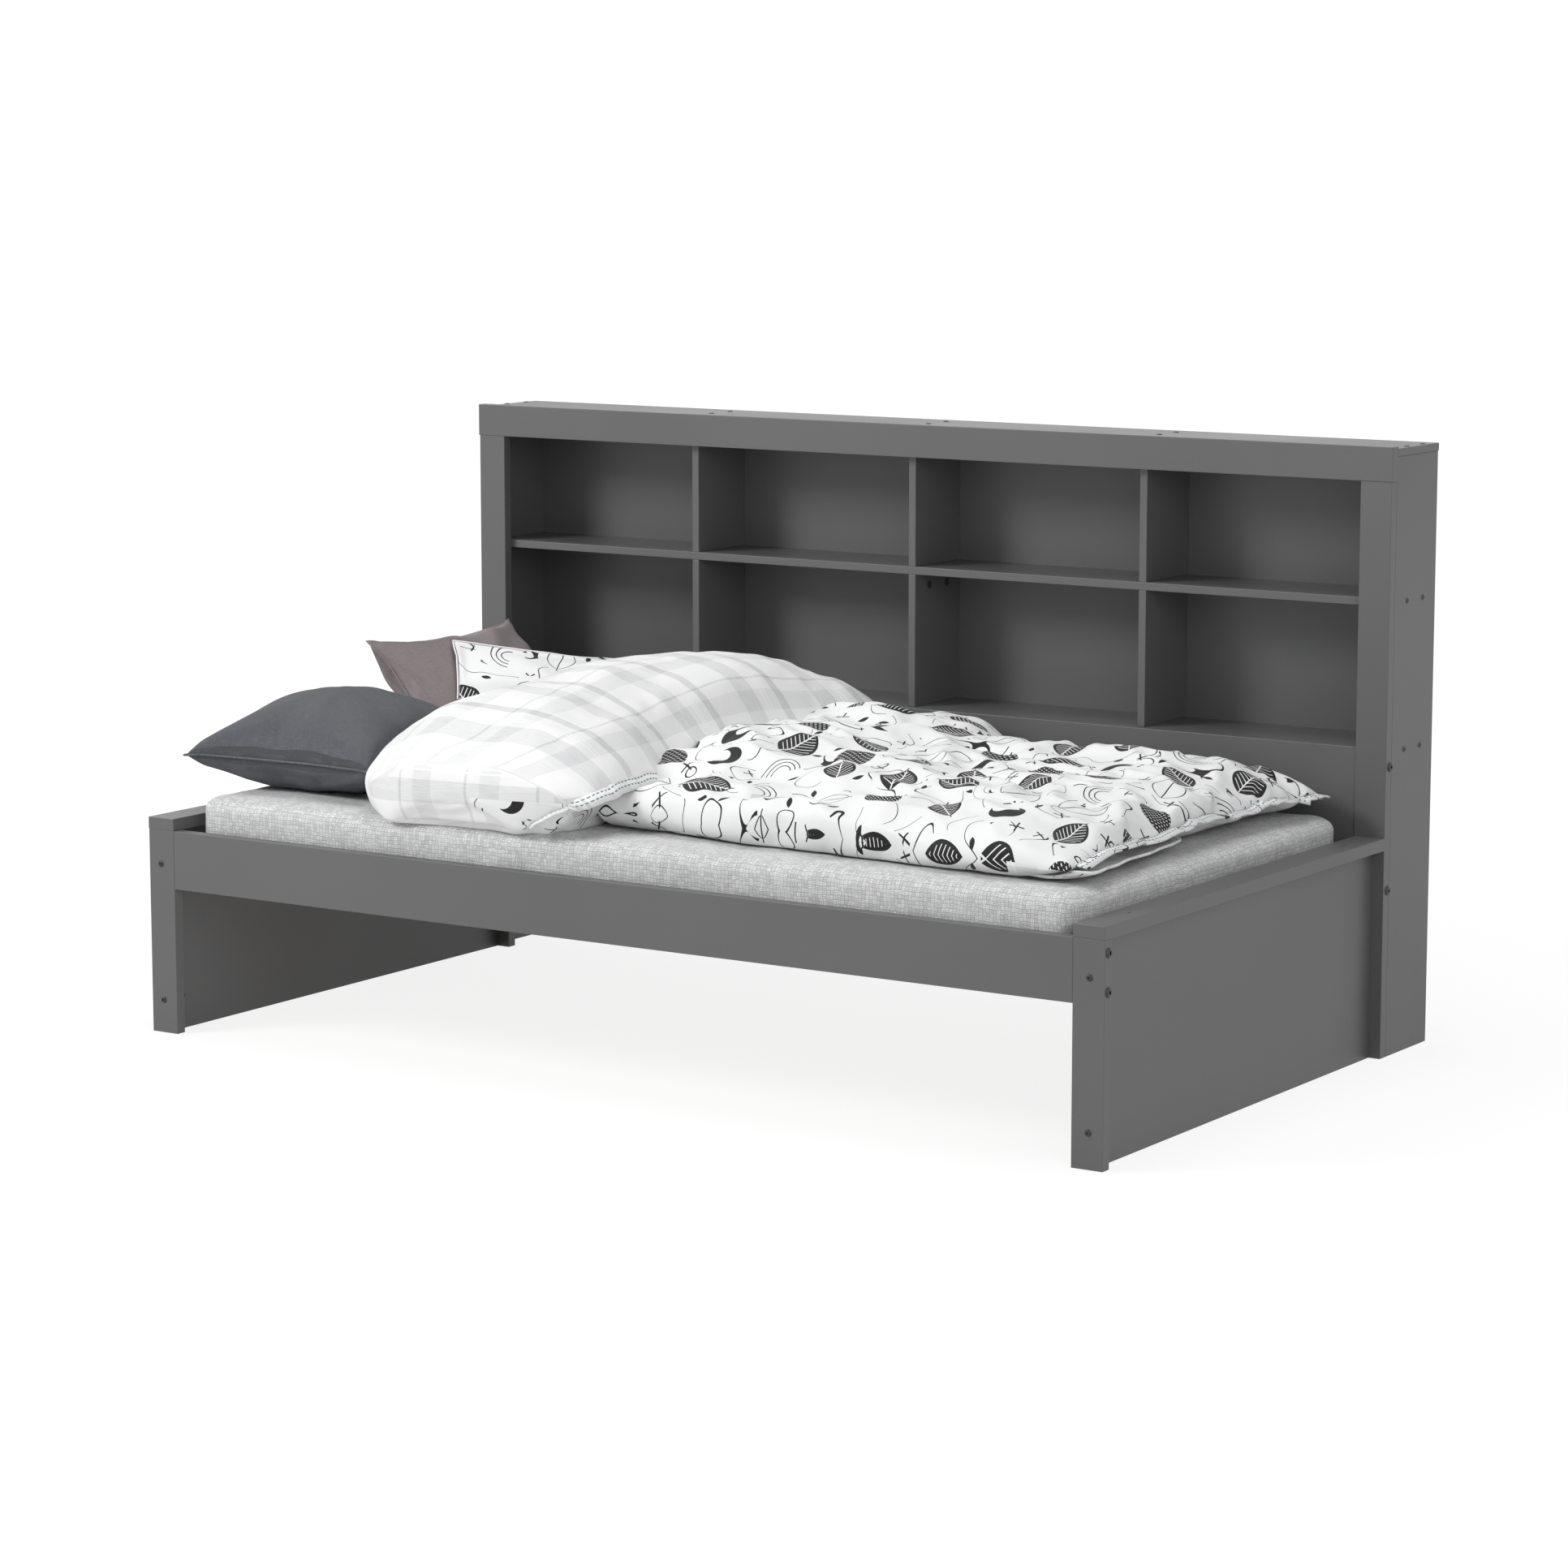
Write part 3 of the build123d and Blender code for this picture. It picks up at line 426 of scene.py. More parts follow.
def built(name, points, faces, layers, materials, choice=None):
    """A smooth mesh object with UV layers given per vertex."""
    mesh = bpy.data.meshes.new(name)
    mesh.from_pydata(points, [], faces)
    for layer, values in layers.items():
        uv = mesh.uv_layers.new(name=layer)
        for loop in mesh.loops:
            uv.data[loop.index].uv = values[loop.vertex_index]
    for slot in materials:
        mesh.materials.append(looks[slot])
    work = bmesh.new()
    work.from_mesh(mesh)
    bmesh.ops.recalc_face_normals(work, faces=work.faces)
    work.to_mesh(mesh)
    work.free()
    for polygon in mesh.polygons:
        polygon.use_smooth = True
        if choice:
            polygon.material_index = choice(polygon)
    mesh.update()
    made = bpy.data.objects.new(name, mesh)
    bpy.context.scene.collection.objects.link(made)
    return made


def puff(piece, cap, hold, pressure=3.0, shrink=-0.03):
    """Lets the cloth swell and crease for a moment, and keeps each point within cap of where it started."""
    frames = 18
    start = [vertex.co.copy() for vertex in piece.data.vertices]
    modifier = piece.modifiers.new("swell", "CLOTH")
    settings = modifier.settings
    settings.quality = 5
    settings.mass = 0.25
    settings.tension_stiffness = 12.0
    settings.compression_stiffness = 6.0
    settings.bending_stiffness = 0.25
    settings.use_pressure = True
    settings.uniform_pressure_force = pressure
    settings.shrink_min = shrink
    settings.effector_weights.gravity = 0.0
    modifier.collision_settings.use_collision = False
    modifier.point_cache.frame_start = 1
    modifier.point_cache.frame_end = frames
    scene = bpy.context.scene
    for number in range(1, frames + 1):
        scene.frame_set(number)
    shape = piece.evaluated_get(bpy.context.evaluated_depsgraph_get())
    swollen = [vertex.co.copy() for vertex in shape.data.vertices]
    piece.modifiers.remove(modifier)
    scene.frame_set(1)
    for vertex, before, after in zip(piece.data.vertices, start, swollen):
        move = after - before
        if move.length > cap:
            move = move.normalized() * cap
        vertex.co = before + move
    for vertex in piece.data.vertices:
        vertex.co = hold(vertex.co)
    piece.data.update()


def finer(piece):
    modifier = piece.modifiers.new("finer", "SUBSURF")
    modifier.levels = 1
    modifier.render_levels = 1


def given(piece, body, slot, *nodes):
    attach(piece, body)
    if nodes:
        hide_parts(*nodes)


def swing(point, size, seed):
    return noise.noise(Vector(point) * size + Vector((seed, seed * 1.7, seed * 0.3)))


# Mattress, a foam block with soft corners and a cover that dimples a little
def build_mattress():
    middle = (bed_low + bed_high) / 2
    half = (bed_high - bed_low) / 2 - Vector((0.001, 0.001, 0.0005))
    corner, edge = 0.052, 0.028
    counts = (150, 84, 16)
    points, faces, uvs, index = [], [], [], {}

    def spot(face, a, b):
        axis, side = face
        others = [n for n in range(3) if n != axis]
        p = [0.0, 0.0, 0.0]
        p[axis] = side
        p[others[0]] = -1 + 2 * a / counts[others[0]]
        p[others[1]] = -1 + 2 * b / counts[others[1]]
        flat = Vector(p[n] * half[n] for n in range(3))
        core = Vector((max(-half.x + corner, min(half.x - corner, flat.x)),
                       max(-half.y + corner, min(half.y - corner, flat.y)),
                       max(-half.z + edge, min(half.z - edge, flat.z))))
        away = Vector(((flat.x - core.x) / corner, (flat.y - core.y) / corner, (flat.z - core.z) / edge))
        if away.length > 0:
            strength = max(abs(n) for n in away) / away.length
            away *= strength
        spread = Vector((core.x + away.x * corner, core.y + away.y * corner, core.z + away.z * edge))
        near = 1 - min(1.0, min(half.x - abs(spread.x), half.y - abs(spread.y)) / 0.2)
        dip = 0.0018 * swing(spread, 14.0, 3.0) + 0.0025 * near * swing(spread, 24.0, 8.0)
        normal = away.normalized() if away.length > 0 else Vector((0, 0, side if axis == 2 else 0))
        return middle + spread + normal * (dip - 0.002)

    for axis in range(3):
        others = [n for n in range(3) if n != axis]
        for side in (-1, 1):
            rows = []
            for a in range(counts[others[0]] + 1):
                row = []
                for b in range(counts[others[1]] + 1):
                    point = spot((axis, side), a, b)
                    key = tuple(round(n, 5) for n in point)
                    if key not in index:
                        index[key] = len(points)
                        points.append(point)
                    row.append(index[key])
                rows.append(row)
            for a in range(counts[others[0]]):
                for b in range(counts[others[1]]):
                    quad = [rows[a][b], rows[a + 1][b], rows[a + 1][b + 1], rows[a][b + 1]]
                    if side * (1 if axis != 1 else -1) < 0:
                        quad.reverse()
                    if len(set(quad)) == 4:
                        faces.append(quad)
                        uvs.append(axis)
    mattress = built("mattress_foam", points, faces, {}, ["mattress_cloth"])
    layer = mattress.data.uv_layers.new(name="cloth")
    for polygon, axis in zip(mattress.data.polygons, uvs):
        others = [n for n in range(3) if n != axis]
        for loop in polygon.loop_indices:
            point = mattress.data.vertices[mattress.data.loops[loop].vertex_index].co
            layer.data[loop].uv = (point[others[0]], point[others[1]])
    given(mattress, "mattress", "mattress_cloth", "mattress")


def build_cushion(name, node, slot, place, facing, along, width, height, crown, belly, nip, seed, limits,
                  crease, cap, piping):
    """A stuffed cushion: two crowned panels with drawn-in sides, and a seam where they meet."""
    cells = 64
    up = facing.cross(along).normalized()
    points, uvs, hems = [], [], []
    grid = {}

    def spot(i, j, side):
        s, t = -1 + 2 * i / cells, -1 + 2 * j / cells
        a, b = width / 2, height / 2
        x = s * (a - nip * (1 - t * t) ** 1.2)
        y = t * (b - nip * (1 - s * s) ** 1.2)
        body_share = ((1 - s ** 2) * (1 - t ** 2)) ** 0.55
        rise = (crown if side > 0 else belly) * body_share
        edge = (1 - body_share) * body_share * 4
        ray = atan2(t, s)
        pull = sin(ray * 9 + seed) * 0.5 + swing((s, t, side), 2.6, seed)
        rise += crease * edge * pull
        rise += crease * 0.5 * body_share * swing((s, t, side), 1.7, seed + 5)
        return place + along * x + up * y + facing * (rise if side > 0 else -rise)

    for side in (1, -1):
        for i in range(cells + 1):
            for j in range(cells + 1):
                border = i in (0, cells) or j in (0, cells)
                if border and side < 0:
                    grid[i, j, -1] = grid[i, j, 1]
                    continue
                grid[i, j, side] = len(points)
                points.append(spot(i, j, side))
                uvs.append((width * i / cells + seed, height * j / cells + side * 2.0))
                hems.append((1.0, 1.0))
    faces = []
    for side in (1, -1):
        for i in range(cells):
            for j in range(cells):
                corners = ((i, j), (i + 1, j), (i + 1, j + 1), (i, j + 1))
                quad = [grid[a, b, side] for a, b in corners]
                if side < 0:
                    quad.reverse()
                faces.append(quad)

    def hold(point):
        for origin, normal in limits:
            depth = (point - origin).dot(normal)
            if depth < 0:
                point = point - normal * depth
        return point

    cushion = built(name, points, faces, {"cloth": uvs, "hem": hems}, [slot])
    puff(cushion, cap, hold)
    for vertex in cushion.data.vertices:
        vertex.co = hold(vertex.co)
    ring = [(i, 0) for i in range(cells)] + [(cells, j) for j in range(cells)]
    ring += [(i, cells) for i in range(cells, 0, -1)] + [(0, j) for j in range(cells, 0, -1)]
    seam = [cushion.data.vertices[grid[i, j, 1]].co.copy() for i, j in ring]
    finer(cushion)
    given(cushion, node, slot, node)
    sides = 8
    tube, tube_faces = [], []
    for number, point in enumerate(seam):
        ahead = (seam[(number + 1) % len(seam)] - seam[number - 1]).normalized()
        outward = facing.cross(ahead).normalized()
        other = ahead.cross(outward).normalized()
        for turn in range(sides):
            angle = 2 * pi * turn / sides
            tube.append(hold(point + (outward * cos(angle) + other * sin(angle)) * piping))
    for number in range(len(seam)):
        for turn in range(sides):
            following = (number + 1) % len(seam)
            tube_faces.append([number * sides + turn, following * sides + turn,
                               following * sides + (turn + 1) % sides, number * sides + (turn + 1) % sides])
    flat = [(0.3 + 0.001 * (n // sides), 0.001 * (n % sides)) for n in range(len(tube))]
    welt = built(name + "_seam", tube, tube_faces, {"cloth": flat, "hem": [(1.0, 1.0)] * len(tube)}, [slot])
    given(welt, node, slot)


def on_bed(x, y, z):
    """A point given from the bed's middle, the mattress's front edge and its top."""
    return Vector((x, bed_front + y, bed_top + z))


def facing_of(turn, lean):
    return Vector((sin(lean) * cos(turn), sin(lean) * sin(turn), cos(lean)))


def across_of(turn):
    return Vector((-sin(turn), cos(turn), 0))


def build_cushions():
    slate_turn, mauve_turn, print_turn = radians(2.0), radians(-2.0), radians(-45.0)
    mauve_lean, print_lean, print_roll = radians(54.0), radians(47.0), radians(-8.0)
    rest = (on_bed(0, 0, 0.0006), Vector((0, 0, 1)))
    wall = (Vector((0, case_front - 0.001, 0)), Vector((0, -1, 0)))
    mauve_facing = facing_of(mauve_turn, mauve_lean)
    print_facing = facing_of(print_turn, print_lean)
    normal = (mauve_facing + print_facing).normalized()
    contact = on_bed(-0.774, 0.572, 0.0203)
    tilt = Matrix.Rotation(print_roll, 3, print_facing)
    build_cushion("slate_pillow", "slate_cushion", "slate_cloth", place=on_bed(-0.797, 0.275, 0.0623),
                  facing=Vector((0, 0, 1)), along=Vector((cos(slate_turn), sin(slate_turn), 0)),
                  width=0.436, height=0.436, crown=0.112, belly=0.066, nip=0.020, seed=1.3,
                  limits=[rest], crease=0.006, cap=0.010, piping=0.0022)
    build_cushion("mauve_pillow", "mauve_cushion", "mauve_cloth", place=on_bed(-0.880, 0.788, 0.1123),
                  facing=mauve_facing, along=across_of(mauve_turn),
                  width=0.440, height=0.300, crown=0.072, belly=0.072, nip=0.018, seed=4.1,
                  limits=[rest, wall, (contact - normal * 0.0002, -normal)],
                  crease=0.007, cap=0.009, piping=0.0018)
    build_cushion("print_pillow", "print_cushion", "print_cloth", place=on_bed(-0.658, 0.791, 0.0943),
                  facing=print_facing, along=tilt @ across_of(print_turn),
                  width=0.440, height=0.280, crown=0.062, belly=0.062, nip=0.018, seed=7.7,
                  limits=[rest, wall, (contact + normal * 0.0005, normal)],
                  crease=0.006, cap=0.009, piping=0.0018)


# Spread part of the quilt, in slices: x, the front and back edges, and five heights from front to back
main_slices = (
    (-0.080, 0.103, 0.990, (0.060, 0.105, 0.120, 0.120, 0.095)),
    (0.100, 0.098, 1.000, (0.074, 0.118, 0.128, 0.134, 0.112)),
    (0.200, 0.085, 0.998, (0.070, 0.108, 0.116, 0.126, 0.104)),
    (0.300, 0.078, 0.988, (0.066, 0.096, 0.106, 0.088, 0.052)),
    (0.420, 0.068, 0.990, (0.068, 0.092, 0.094, 0.084, 0.060)),
    (0.560, 0.061, 0.995, (0.068, 0.086, 0.088, 0.092, 0.082)),
    (0.700, 0.055, 0.998, (0.064, 0.084, 0.092, 0.096, 0.088)),
    (0.820, 0.058, 0.998, (0.058, 0.076, 0.082, 0.084, 0.074)),
    (0.900, 0.062, 0.996, (0.040, 0.054, 0.060, 0.060, 0.052)),
    (0.940, 0.084, 0.985, (0.016, 0.022, 0.024, 0.026, 0.022)),
)
# Turned-back head, in slices: y from the mattress's front edge, left edge, right edge, crest and height
fold_slices = (
    (-0.008, -0.520, -0.070, -0.300, 0.104),
    (0.020, -0.545, -0.040, -0.310, 0.142),
    (0.090, -0.558, -0.025, -0.330, 0.182),
    (0.220, -0.562, -0.030, -0.340, 0.204),
    (0.380, -0.562, -0.060, -0.330, 0.218),
    (0.570, -0.545, -0.060, -0.300, 0.232),
    (0.770, -0.446, -0.020, -0.250, 0.222),
    (0.920, -0.360, 0.020, -0.200, 0.190),
    (0.985, -0.340, 0.020, -0.160, 0.136),
    (1.006, -0.280, 0.000, -0.140, 0.070),
)


def curve(a, b, c, d, share):
    """A value between b and c on a smooth curve through all four."""
    return 0.5 * (2 * b + (c - a) * share + (2 * a - 5 * b + 4 * c - d) * share ** 2
                  + (3 * b - a - 3 * c + d) * share ** 3)


def smooth_between(rows, value):
    """Values of a table between its rows, joined smoothly."""
    places = [row[0] for row in rows]
    value = max(places[0], min(places[-1], value))
    upper = next(n for n in range(1, len(places)) if value <= places[n])
    share = (value - places[upper - 1]) / (places[upper] - places[upper - 1])
    four = [rows[max(0, min(len(rows) - 1, n))] for n in range(upper - 2, upper + 2)]
    result = []
    for column in range(1, len(rows[0])):
        cells = [row[column] for row in four]
        if isinstance(cells[0], tuple):
            result.append([curve(*[cell[n] for cell in cells], share) for n in range(len(cells[0]))])
        else:
            result.append(curve(*cells, share))
    return result


def hem_strip(name, path, outward, width, upper, under):
    """A flat sewn edge along a path, with two rows of stitches."""
    thick, tuck = 0.0016, 0.006
    rises = []
    for number in range(len(path) - 1, -1, -1):
        ahead = (path[min(number + 1, len(path) - 1)] - path[max(number - 1, 0)]).normalized()
        rise = outward[number].cross(ahead).normalized()
        before = rises[0] if rises else Vector((0, 0, 1))
        rises.insert(0, -rise if rise.dot(before) < 0 else rise)
    points, faces, uvs, hems, kinds = [], [], [], [], []
    along = 0.0
    for number, (point, away, rise) in enumerate(zip(path, outward, rises)):
        if number:
            along += (point - path[number - 1]).length
        outer = point + away * width + rise * 0.003 * swing(point, 16.0, 61.0)
        inner = point - away * tuck
        points += [inner + rise * thick, outer + rise * thick, outer - rise * thick, inner - rise * thick]
        uvs += [(along, width), (along, 0.0), (along, 0.0), (along, width)]
        hems += [(width, along), (0.0, along), (0.0, along), (width, along)]
    for number in range(len(path) - 1):
        start = number * 4
        for turn in range(4):
            other = (turn + 1) % 4
            faces.append([start + turn, start + other, start + 4 + other, start + 4 + turn])
            kinds.append(0 if turn < 2 else 1)
    last = len(points) - 4
    faces += [[3, 2, 1, 0], [last, last + 1, last + 2, last + 3]]
    kinds += [0, 0]
    strip = built(name, points, faces, {"cloth": uvs, "hem": hems}, [upper, under],
                  lambda polygon: kinds[polygon.index])
    given(strip, "duvet", "duvet_cloth")


def build_under_corner():
    """The quilt's lower layer at the foot end, which shows its lining and hem on the mattress."""
    cells = 30
    near, far, left, right, slant, corner = 0.070, 0.480, 0.80, 0.950, 0.040, 0.035
    base, thick = bed_top + 0.0015, 0.005
    curl_reach, curl_height = 0.06, 0.012
    points, uvs, hems, faces, kinds = [], [], [], [], []
    for side in (1, -1):
        for i in range(cells + 1):
            for j in range(cells + 1):
                y = near + (far - near) * j / cells
                to_end = min(y - near, far - y)
                within = max(0.0, corner - to_end)
                cut = corner - sqrt(max(0.0, corner ** 2 - within ** 2))
                edge = right - slant * j / cells - cut
                x = left + (edge - left) * i / cells
                curl = curl_height * max(0.0, 1 - (edge - x) / curl_reach) ** 2
                curl += 0.004 * (1 + swing((x, y, 0), 15.0, 71.0))
                z = base + thick * (1 if side > 0 else 0) + curl
                points.append(Vector((x, bed_front + y, z)))
                uvs.append((x, y))
                hems.append((min(edge - x, to_end + 0.002), y) if side > 0 else (1.0, 1.0))
    size = (cells + 1) ** 2
    for side in (0, 1):
        for i in range(cells):
            for j in range(cells):
                first = side * size + i * (cells + 1) + j
                faces.append([first, first + cells + 1, first + cells + 2, first + 1])
                kinds.append(side)
    ring = [i * (cells + 1) for i in range(cells)] + [cells * (cells + 1) + j for j in range(cells)]
    ring += [i * (cells + 1) + cells for i in range(cells, 0, -1)] + list(range(cells, 0, -1))
    for number, first in enumerate(ring):
        following = ring[(number + 1) % len(ring)]
        faces.append([first, following, following + size, first + size])
        kinds.append(0)
    layer = built("duvet_under_corner", points, faces, {"cloth": uvs, "hem": hems},
                  ["lining_cloth", "duvet_cloth"], lambda polygon: kinds[polygon.index])
    given(layer, "duvet", "duvet_cloth")


def build_main():
    """The quilt's spread part: a top and an underside that meet at a round rim, lifted at the foot end."""
    columns, rows = 130, 104
    left, right = main_slices[0][0], 0.908
    lip_reach, lip_edge, lip_share = 0.12, 0.03, 0.9
    rim_reach, rim_share = 0.07, 0.35
    lining_from, foot_limit = 0.78, 0.955
    points, uvs, hems, grid = [], [], [], {}
    base = bed_top + 0.001

    def spot(i, j, side):
        x = left + (right - left) * i / columns
        near, far, heights = smooth_between(main_slices, x)
        t = j / rows
        near += 0.010 * swing((x, 0, 0), 9.0, 2.0)
        y = near + (far - near) * t
        place = t * 4
        low = min(3, int(place))
        share = place - low
        soft = share * share * (3 - 2 * share)
        height = heights[low] * (1 - soft) + heights[low + 1] * soft
        rim = max(0.0, min(y - near, far - y, rim_reach) / rim_reach)
        round_rim = sqrt(1 - (1 - rim) ** 2)
        fold = 0.026 * swing((x + y * 0.7, y * 0.8 - x * 0.3, 0), 5.5, 11.0)
        crease = 0.017 * (0.5 - abs(swing((x + y * 0.4, y * 1.4, 0), 9.0, 21.0)) * 2)
        wrinkle = 0.004 * swing((x, y, 0), 30.0, 31.0)
        height = max(0.012, height + (fold + crease + wrinkle) * min(1.0, height / 0.06))
        lip = height * (rim_share + (lip_share - rim_share) * round_rim)
        if side > 0:
            share = max(0.0, 1 - (right - x) / lip_edge)
            z = height * (rim_share + (1 - rim_share) * round_rim)
        else:
            share = max(0.0, 1 - (right - x) / lip_reach)
            z = height * rim_share * (1 - round_rim)
        z += (lip - z) * share * share
        return Vector((x, bed_front + y, base + z))

    for side in (1, -1):
        for i in range(columns + 1):
            for j in range(rows + 1):
                if side < 0 and (i in (0, columns) or j in (0, rows)):
                    grid[i, j, -1] = grid[i, j, 1]
                    continue
                point = spot(i, j, side)
                grid[i, j, side] = len(points)
                points.append(point)
                uvs.append((point.x, point.y))
                hems.append((1.0, 1.0))
    faces, kinds = [], []
    for side in (1, -1):
        for i in range(columns):
            for j in range(rows):
                corners = ((i, j), (i + 1, j), (i + 1, j + 1), (i, j + 1))
                quad = [grid[a, b, side] for a, b in corners]
                if side < 0:
                    quad.reverse()
                faces.append(quad)
                kinds.append(1 if side < 0 and points[quad[0]].x > lining_from else 0)

    def hold(point):
        return Vector((min(point.x, foot_limit), min(point.y, case_front - CASE_GAP), max(point.z, base)))

    quilt = built("duvet_quilt", points, faces, {"cloth": uvs, "hem": hems}, ["duvet_cloth", "lining_cloth"],
                  lambda polygon: kinds[polygon.index])
    puff(quilt, 0.012, hold, pressure=1.5, shrink=-0.04)
    edge = [quilt.data.vertices[grid[columns, j, 1]].co.copy() for j in range(3, rows - 2)]
    away = Vector((1, 0, -0.12)).normalized()
    finer(quilt)
    given(quilt, "duvet", "duvet_cloth", "duvet")
    hem_strip("duvet_foot_hem", edge, [away] * len(edge), HEM_WIDTH, "duvet_cloth", "lining_cloth")


def build_fold():
    """The quilt's turned-back head: a thick roll with rounded ends, whose right edge is the hem."""
    along_count, round_count, cap_rings = 110, 96, 7
    first, last = fold_slices[0][0], fold_slices[-1][0]
    base = bed_top + 0.001
    points, uvs, hems, grid = [], [], [], {}

    def loop(y):
        left, right, crest, height = smooth_between(fold_slices, y)
        pocket = [(right - 0.100, 0.0), (right - 0.070, 0.16 * height), (right - 0.045, 0.32 * height)]
        rise = [(right, 0.44 * height), ((right * 2 + crest) / 3, 0.80 * height),
                ((right + crest * 2) / 3, 0.95 * height), (crest, height)]
        fall = [((left + crest) / 2, 0.93 * height), (left + 0.05, 0.70 * height), (left, 0.36 * height)]
        return pocket + rise + fall + [(left + 0.045, 0.0), ((left + right) / 2, 0.0)]

    def ring(y):
        controls = loop(y)
        count = len(controls)
        result = []
        for step in range(round_count):
            place = step / round_count * count
            low = floor(place)
            share = place - low
            four = [controls[(low + n) % count] for n in (-1, 0, 1, 2)]
            result.append([curve(*[corner[axis] for corner in four], share) for axis in (0, 1)])
        return result

    for row in range(along_count + 1):
        y = first + (last - first) * (1 - cos(pi * row / along_count)) / 2
        travelled = 0.0
        previous = None
        for step, (x, z) in enumerate(ring(y)):
            crease = 0.015 * swing((x * 1.2, y * 0.8, z), 7.0, 41.0) + 0.004 * swing((x, y, z), 26.0, 51.0)
            lift = crease * min(1.0, z / 0.04)
            if previous is not None:
                travelled += (Vector((x, 0, z)) - previous).length
            previous = Vector((x, 0, z))
            grid[row, step] = len(points)
            points.append(Vector((x, bed_front + y, base + max(0.0, z + lift))))
            uvs.append((travelled, y))
            hems.append((1.0, 1.0))
    faces, kinds = [], []
    hem_step = round_count * 3 // 12

    def band(near_ring, far_ring):
        for step in range(round_count):
            after = (step + 1) % round_count
            faces.append([near_ring[step], near_ring[after], far_ring[after], far_ring[step]])
            kinds.append(1 if step < hem_step else 0)

    def close(row, outward, droop):
        """Rounds off an end with rings that shrink towards its middle."""
        ring_now = [grid[row, step] for step in range(round_count)]
        start = [points[number] for number in ring_now]
        middle = sum(start, Vector()) / round_count
        for number in range(1, cap_rings + 1):
            angle = pi / 2 * number / cap_rings
            ring_next = []
            for step, point in enumerate(start):
                offset = (point - middle) * max(0.02, cos(angle))
                sunk = droop * sin(angle) * max(0.0, 1 - (point.z - base) / 0.05)
                ring_next.append(len(points))
                place = middle + offset + Vector((0, outward * sin(angle), -sunk))
                points.append(place)
                uvs.append((-place.x, place.z - bed_top))
                hems.append((1.0, 1.0))
            band(ring_now, ring_next)
            ring_now = ring_next
        faces.append(ring_now)
        kinds.append(0)

    rings = [[grid[row, step] for step in range(round_count)] for row in range(along_count + 1)]
    for near_ring, far_ring in zip(rings, rings[1:]):
        band(near_ring, far_ring)
    close(0, -0.016, 0.012)
    close(along_count, 0.006, 0.0)

    def hold(point):
        return Vector((point.x, min(point.y, case_front - CASE_GAP), max(point.z, base - 0.012)))

    roll = built("duvet_turned_head", points, faces, {"cloth": uvs, "hem": hems},
                 ["lining_cloth", "duvet_cloth"], lambda polygon: kinds[polygon.index])
    puff(roll, 0.010, hold, pressure=1.5)
    spots = [vertex.co.copy() for vertex in roll.data.vertices]
    finer(roll)
    given(roll, "duvet", "duvet_cloth")
    path = [spots[grid[2, step]] for step in range(2, hem_step, 2)]
    outward = [Vector((0.62, -0.78, 0.0))] * len(path)
    for row in range(2, along_count - 3):
        path.append(spots[grid[row, hem_step]])
        outward.append((spots[grid[row, hem_step]] - spots[grid[row, hem_step + 5]]).normalized())
    hem_strip("duvet_head_hem", path, outward, HEM_WIDTH, "lining_cloth", "duvet_cloth")


build_mattress()
build_cushions()
build_main()
build_under_corner()
build_fold()


# Floor and light: a white floor and surround, large soft lamps
def white_to_camera(tree, lit, shade_share):
    """White where the camera, a gloss or clear material sees it, and the lit look for other light."""
    light_path = tree.nodes.new("ShaderNodeLightPath")
    shade = Shade(tree)
    seen = shade.most(light_path.outputs["Is Camera Ray"], light_path.outputs["Is Glossy Ray"],
                      light_path.outputs["Is Transmission Ray"])
    glow = tree.nodes.new("ShaderNodeEmission")
    glow.inputs["Color"].default_value = (1, 1, 1, 1)
    glow.inputs["Strength"].default_value = 1.07
    mix = tree.nodes.new("ShaderNodeMixShader")
    shade.put(mix.inputs[0], shade.mul(seen, shade_share))
    tree.links.new(lit, mix.inputs[1])
    tree.links.new(glow.outputs[0], mix.inputs[2])
    return mix.outputs[0]


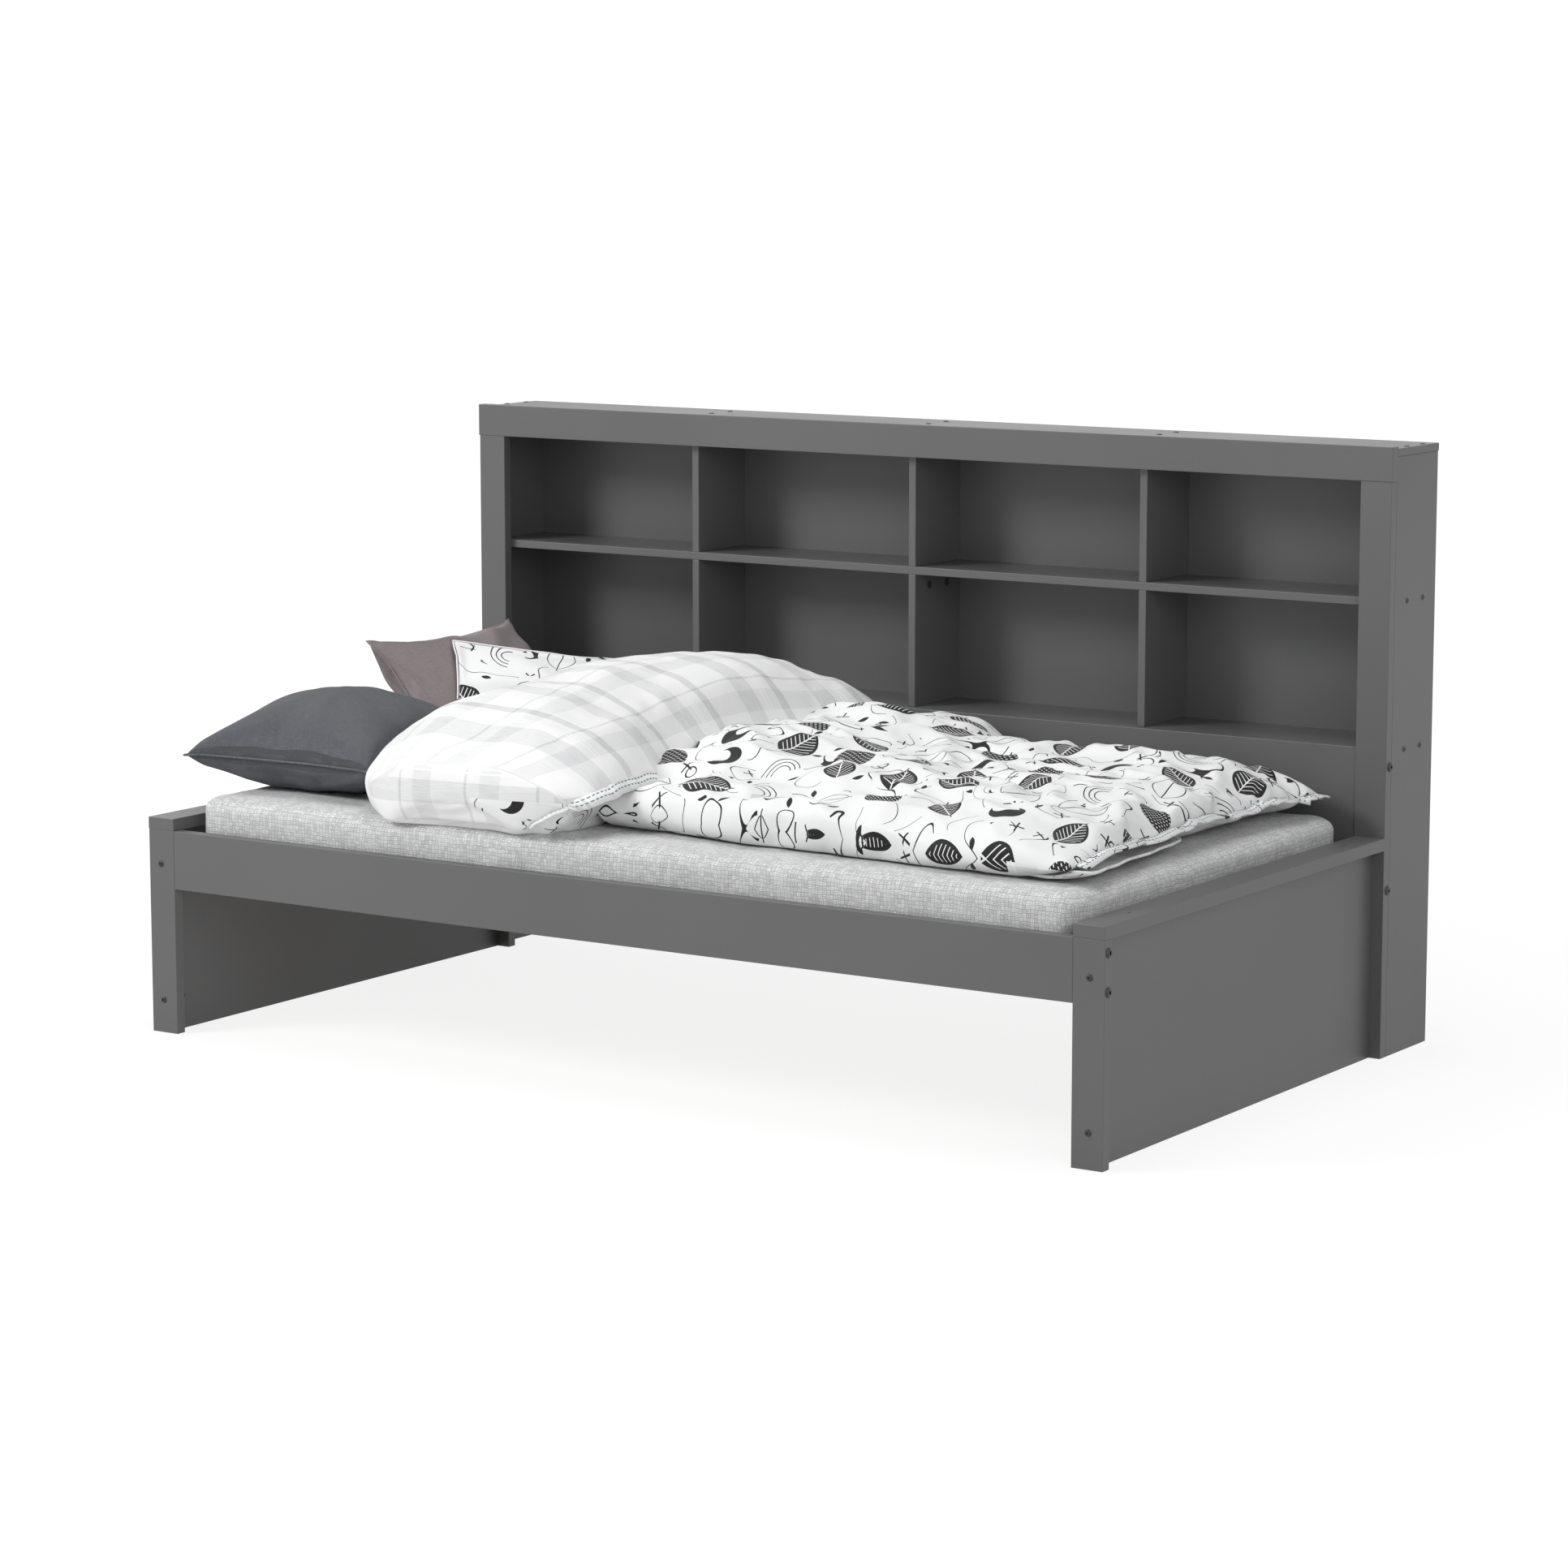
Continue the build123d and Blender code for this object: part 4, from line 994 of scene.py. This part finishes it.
floor_mesh = bpy.data.meshes.new("floor")
reach = 40.0
floor_mesh.from_pydata([(-reach, -reach, 0), (reach, -reach, 0), (reach, reach, 0), (-reach, reach, 0)], [],
                       [(0, 1, 2, 3)])
floor_piece = bpy.data.objects.new("floor", floor_mesh)
floor_piece.location.z = -0.0005
bpy.context.scene.collection.objects.link(floor_piece)
floor_look = bpy.data.materials.new("floor")
floor_look.use_nodes = True
floor_tree = floor_look.node_tree
floor_surface = floor_tree.nodes["Principled BSDF"]
floor_surface.inputs["Base Color"].default_value = (0.82, 0.82, 0.82, 1)
floor_surface.inputs["Roughness"].default_value = 0.9
floor_out = floor_tree.nodes["Material Output"]
floor_shade = Shade(floor_tree)
floor_x, floor_y, _ = floor_shade.place()
squares = floor_shade.add(floor_shade.mul(floor_x, floor_x), floor_shade.mul(floor_y, floor_y))
whiter_with_distance = floor_shade.span(floor_shade.do("SQRT", squares), 1.2, 3.4, 0.80, 1.0)
floor_white = white_to_camera(floor_tree, floor_surface.outputs[0], whiter_with_distance)
floor_tree.links.new(floor_white, floor_out.inputs[0])
floor_mesh.materials.append(floor_look)

world = bpy.data.worlds.new("world")
world.use_nodes = True
bpy.context.scene.world = world
world_tree = world.node_tree
around = world_tree.nodes["Background"]
around.inputs["Color"].default_value = (1, 1, 1, 1)
around.inputs["Strength"].default_value = 0.33
world_white = white_to_camera(world_tree, around.outputs[0], 1.0)
world_tree.links.new(world_white, world_tree.nodes["World Output"].inputs[0])


def lamp(name, place, aim, size, power):
    data = bpy.data.lights.new(name, "AREA")
    data.shape = "DISK"
    data.size = size
    data.energy = power
    made = bpy.data.objects.new(name, data)
    made.location = place
    made.rotation_euler = (Vector(aim) - Vector(place)).to_track_quat("-Z", "Y").to_euler()
    bpy.context.scene.collection.objects.link(made)


lamp("key", (-3.4, -4.0, 3.9), (0.0, 0.0, 0.5), 2.2, 225.0)
lamp("fill", (4.5, -3.5, 2.5), (0.0, 0.0, 0.5), 3.5, 80.0)
lamp("top", (0.3, 0.2, 5.2), (0.0, 0.0, 0.4), 3.0, 95.0)
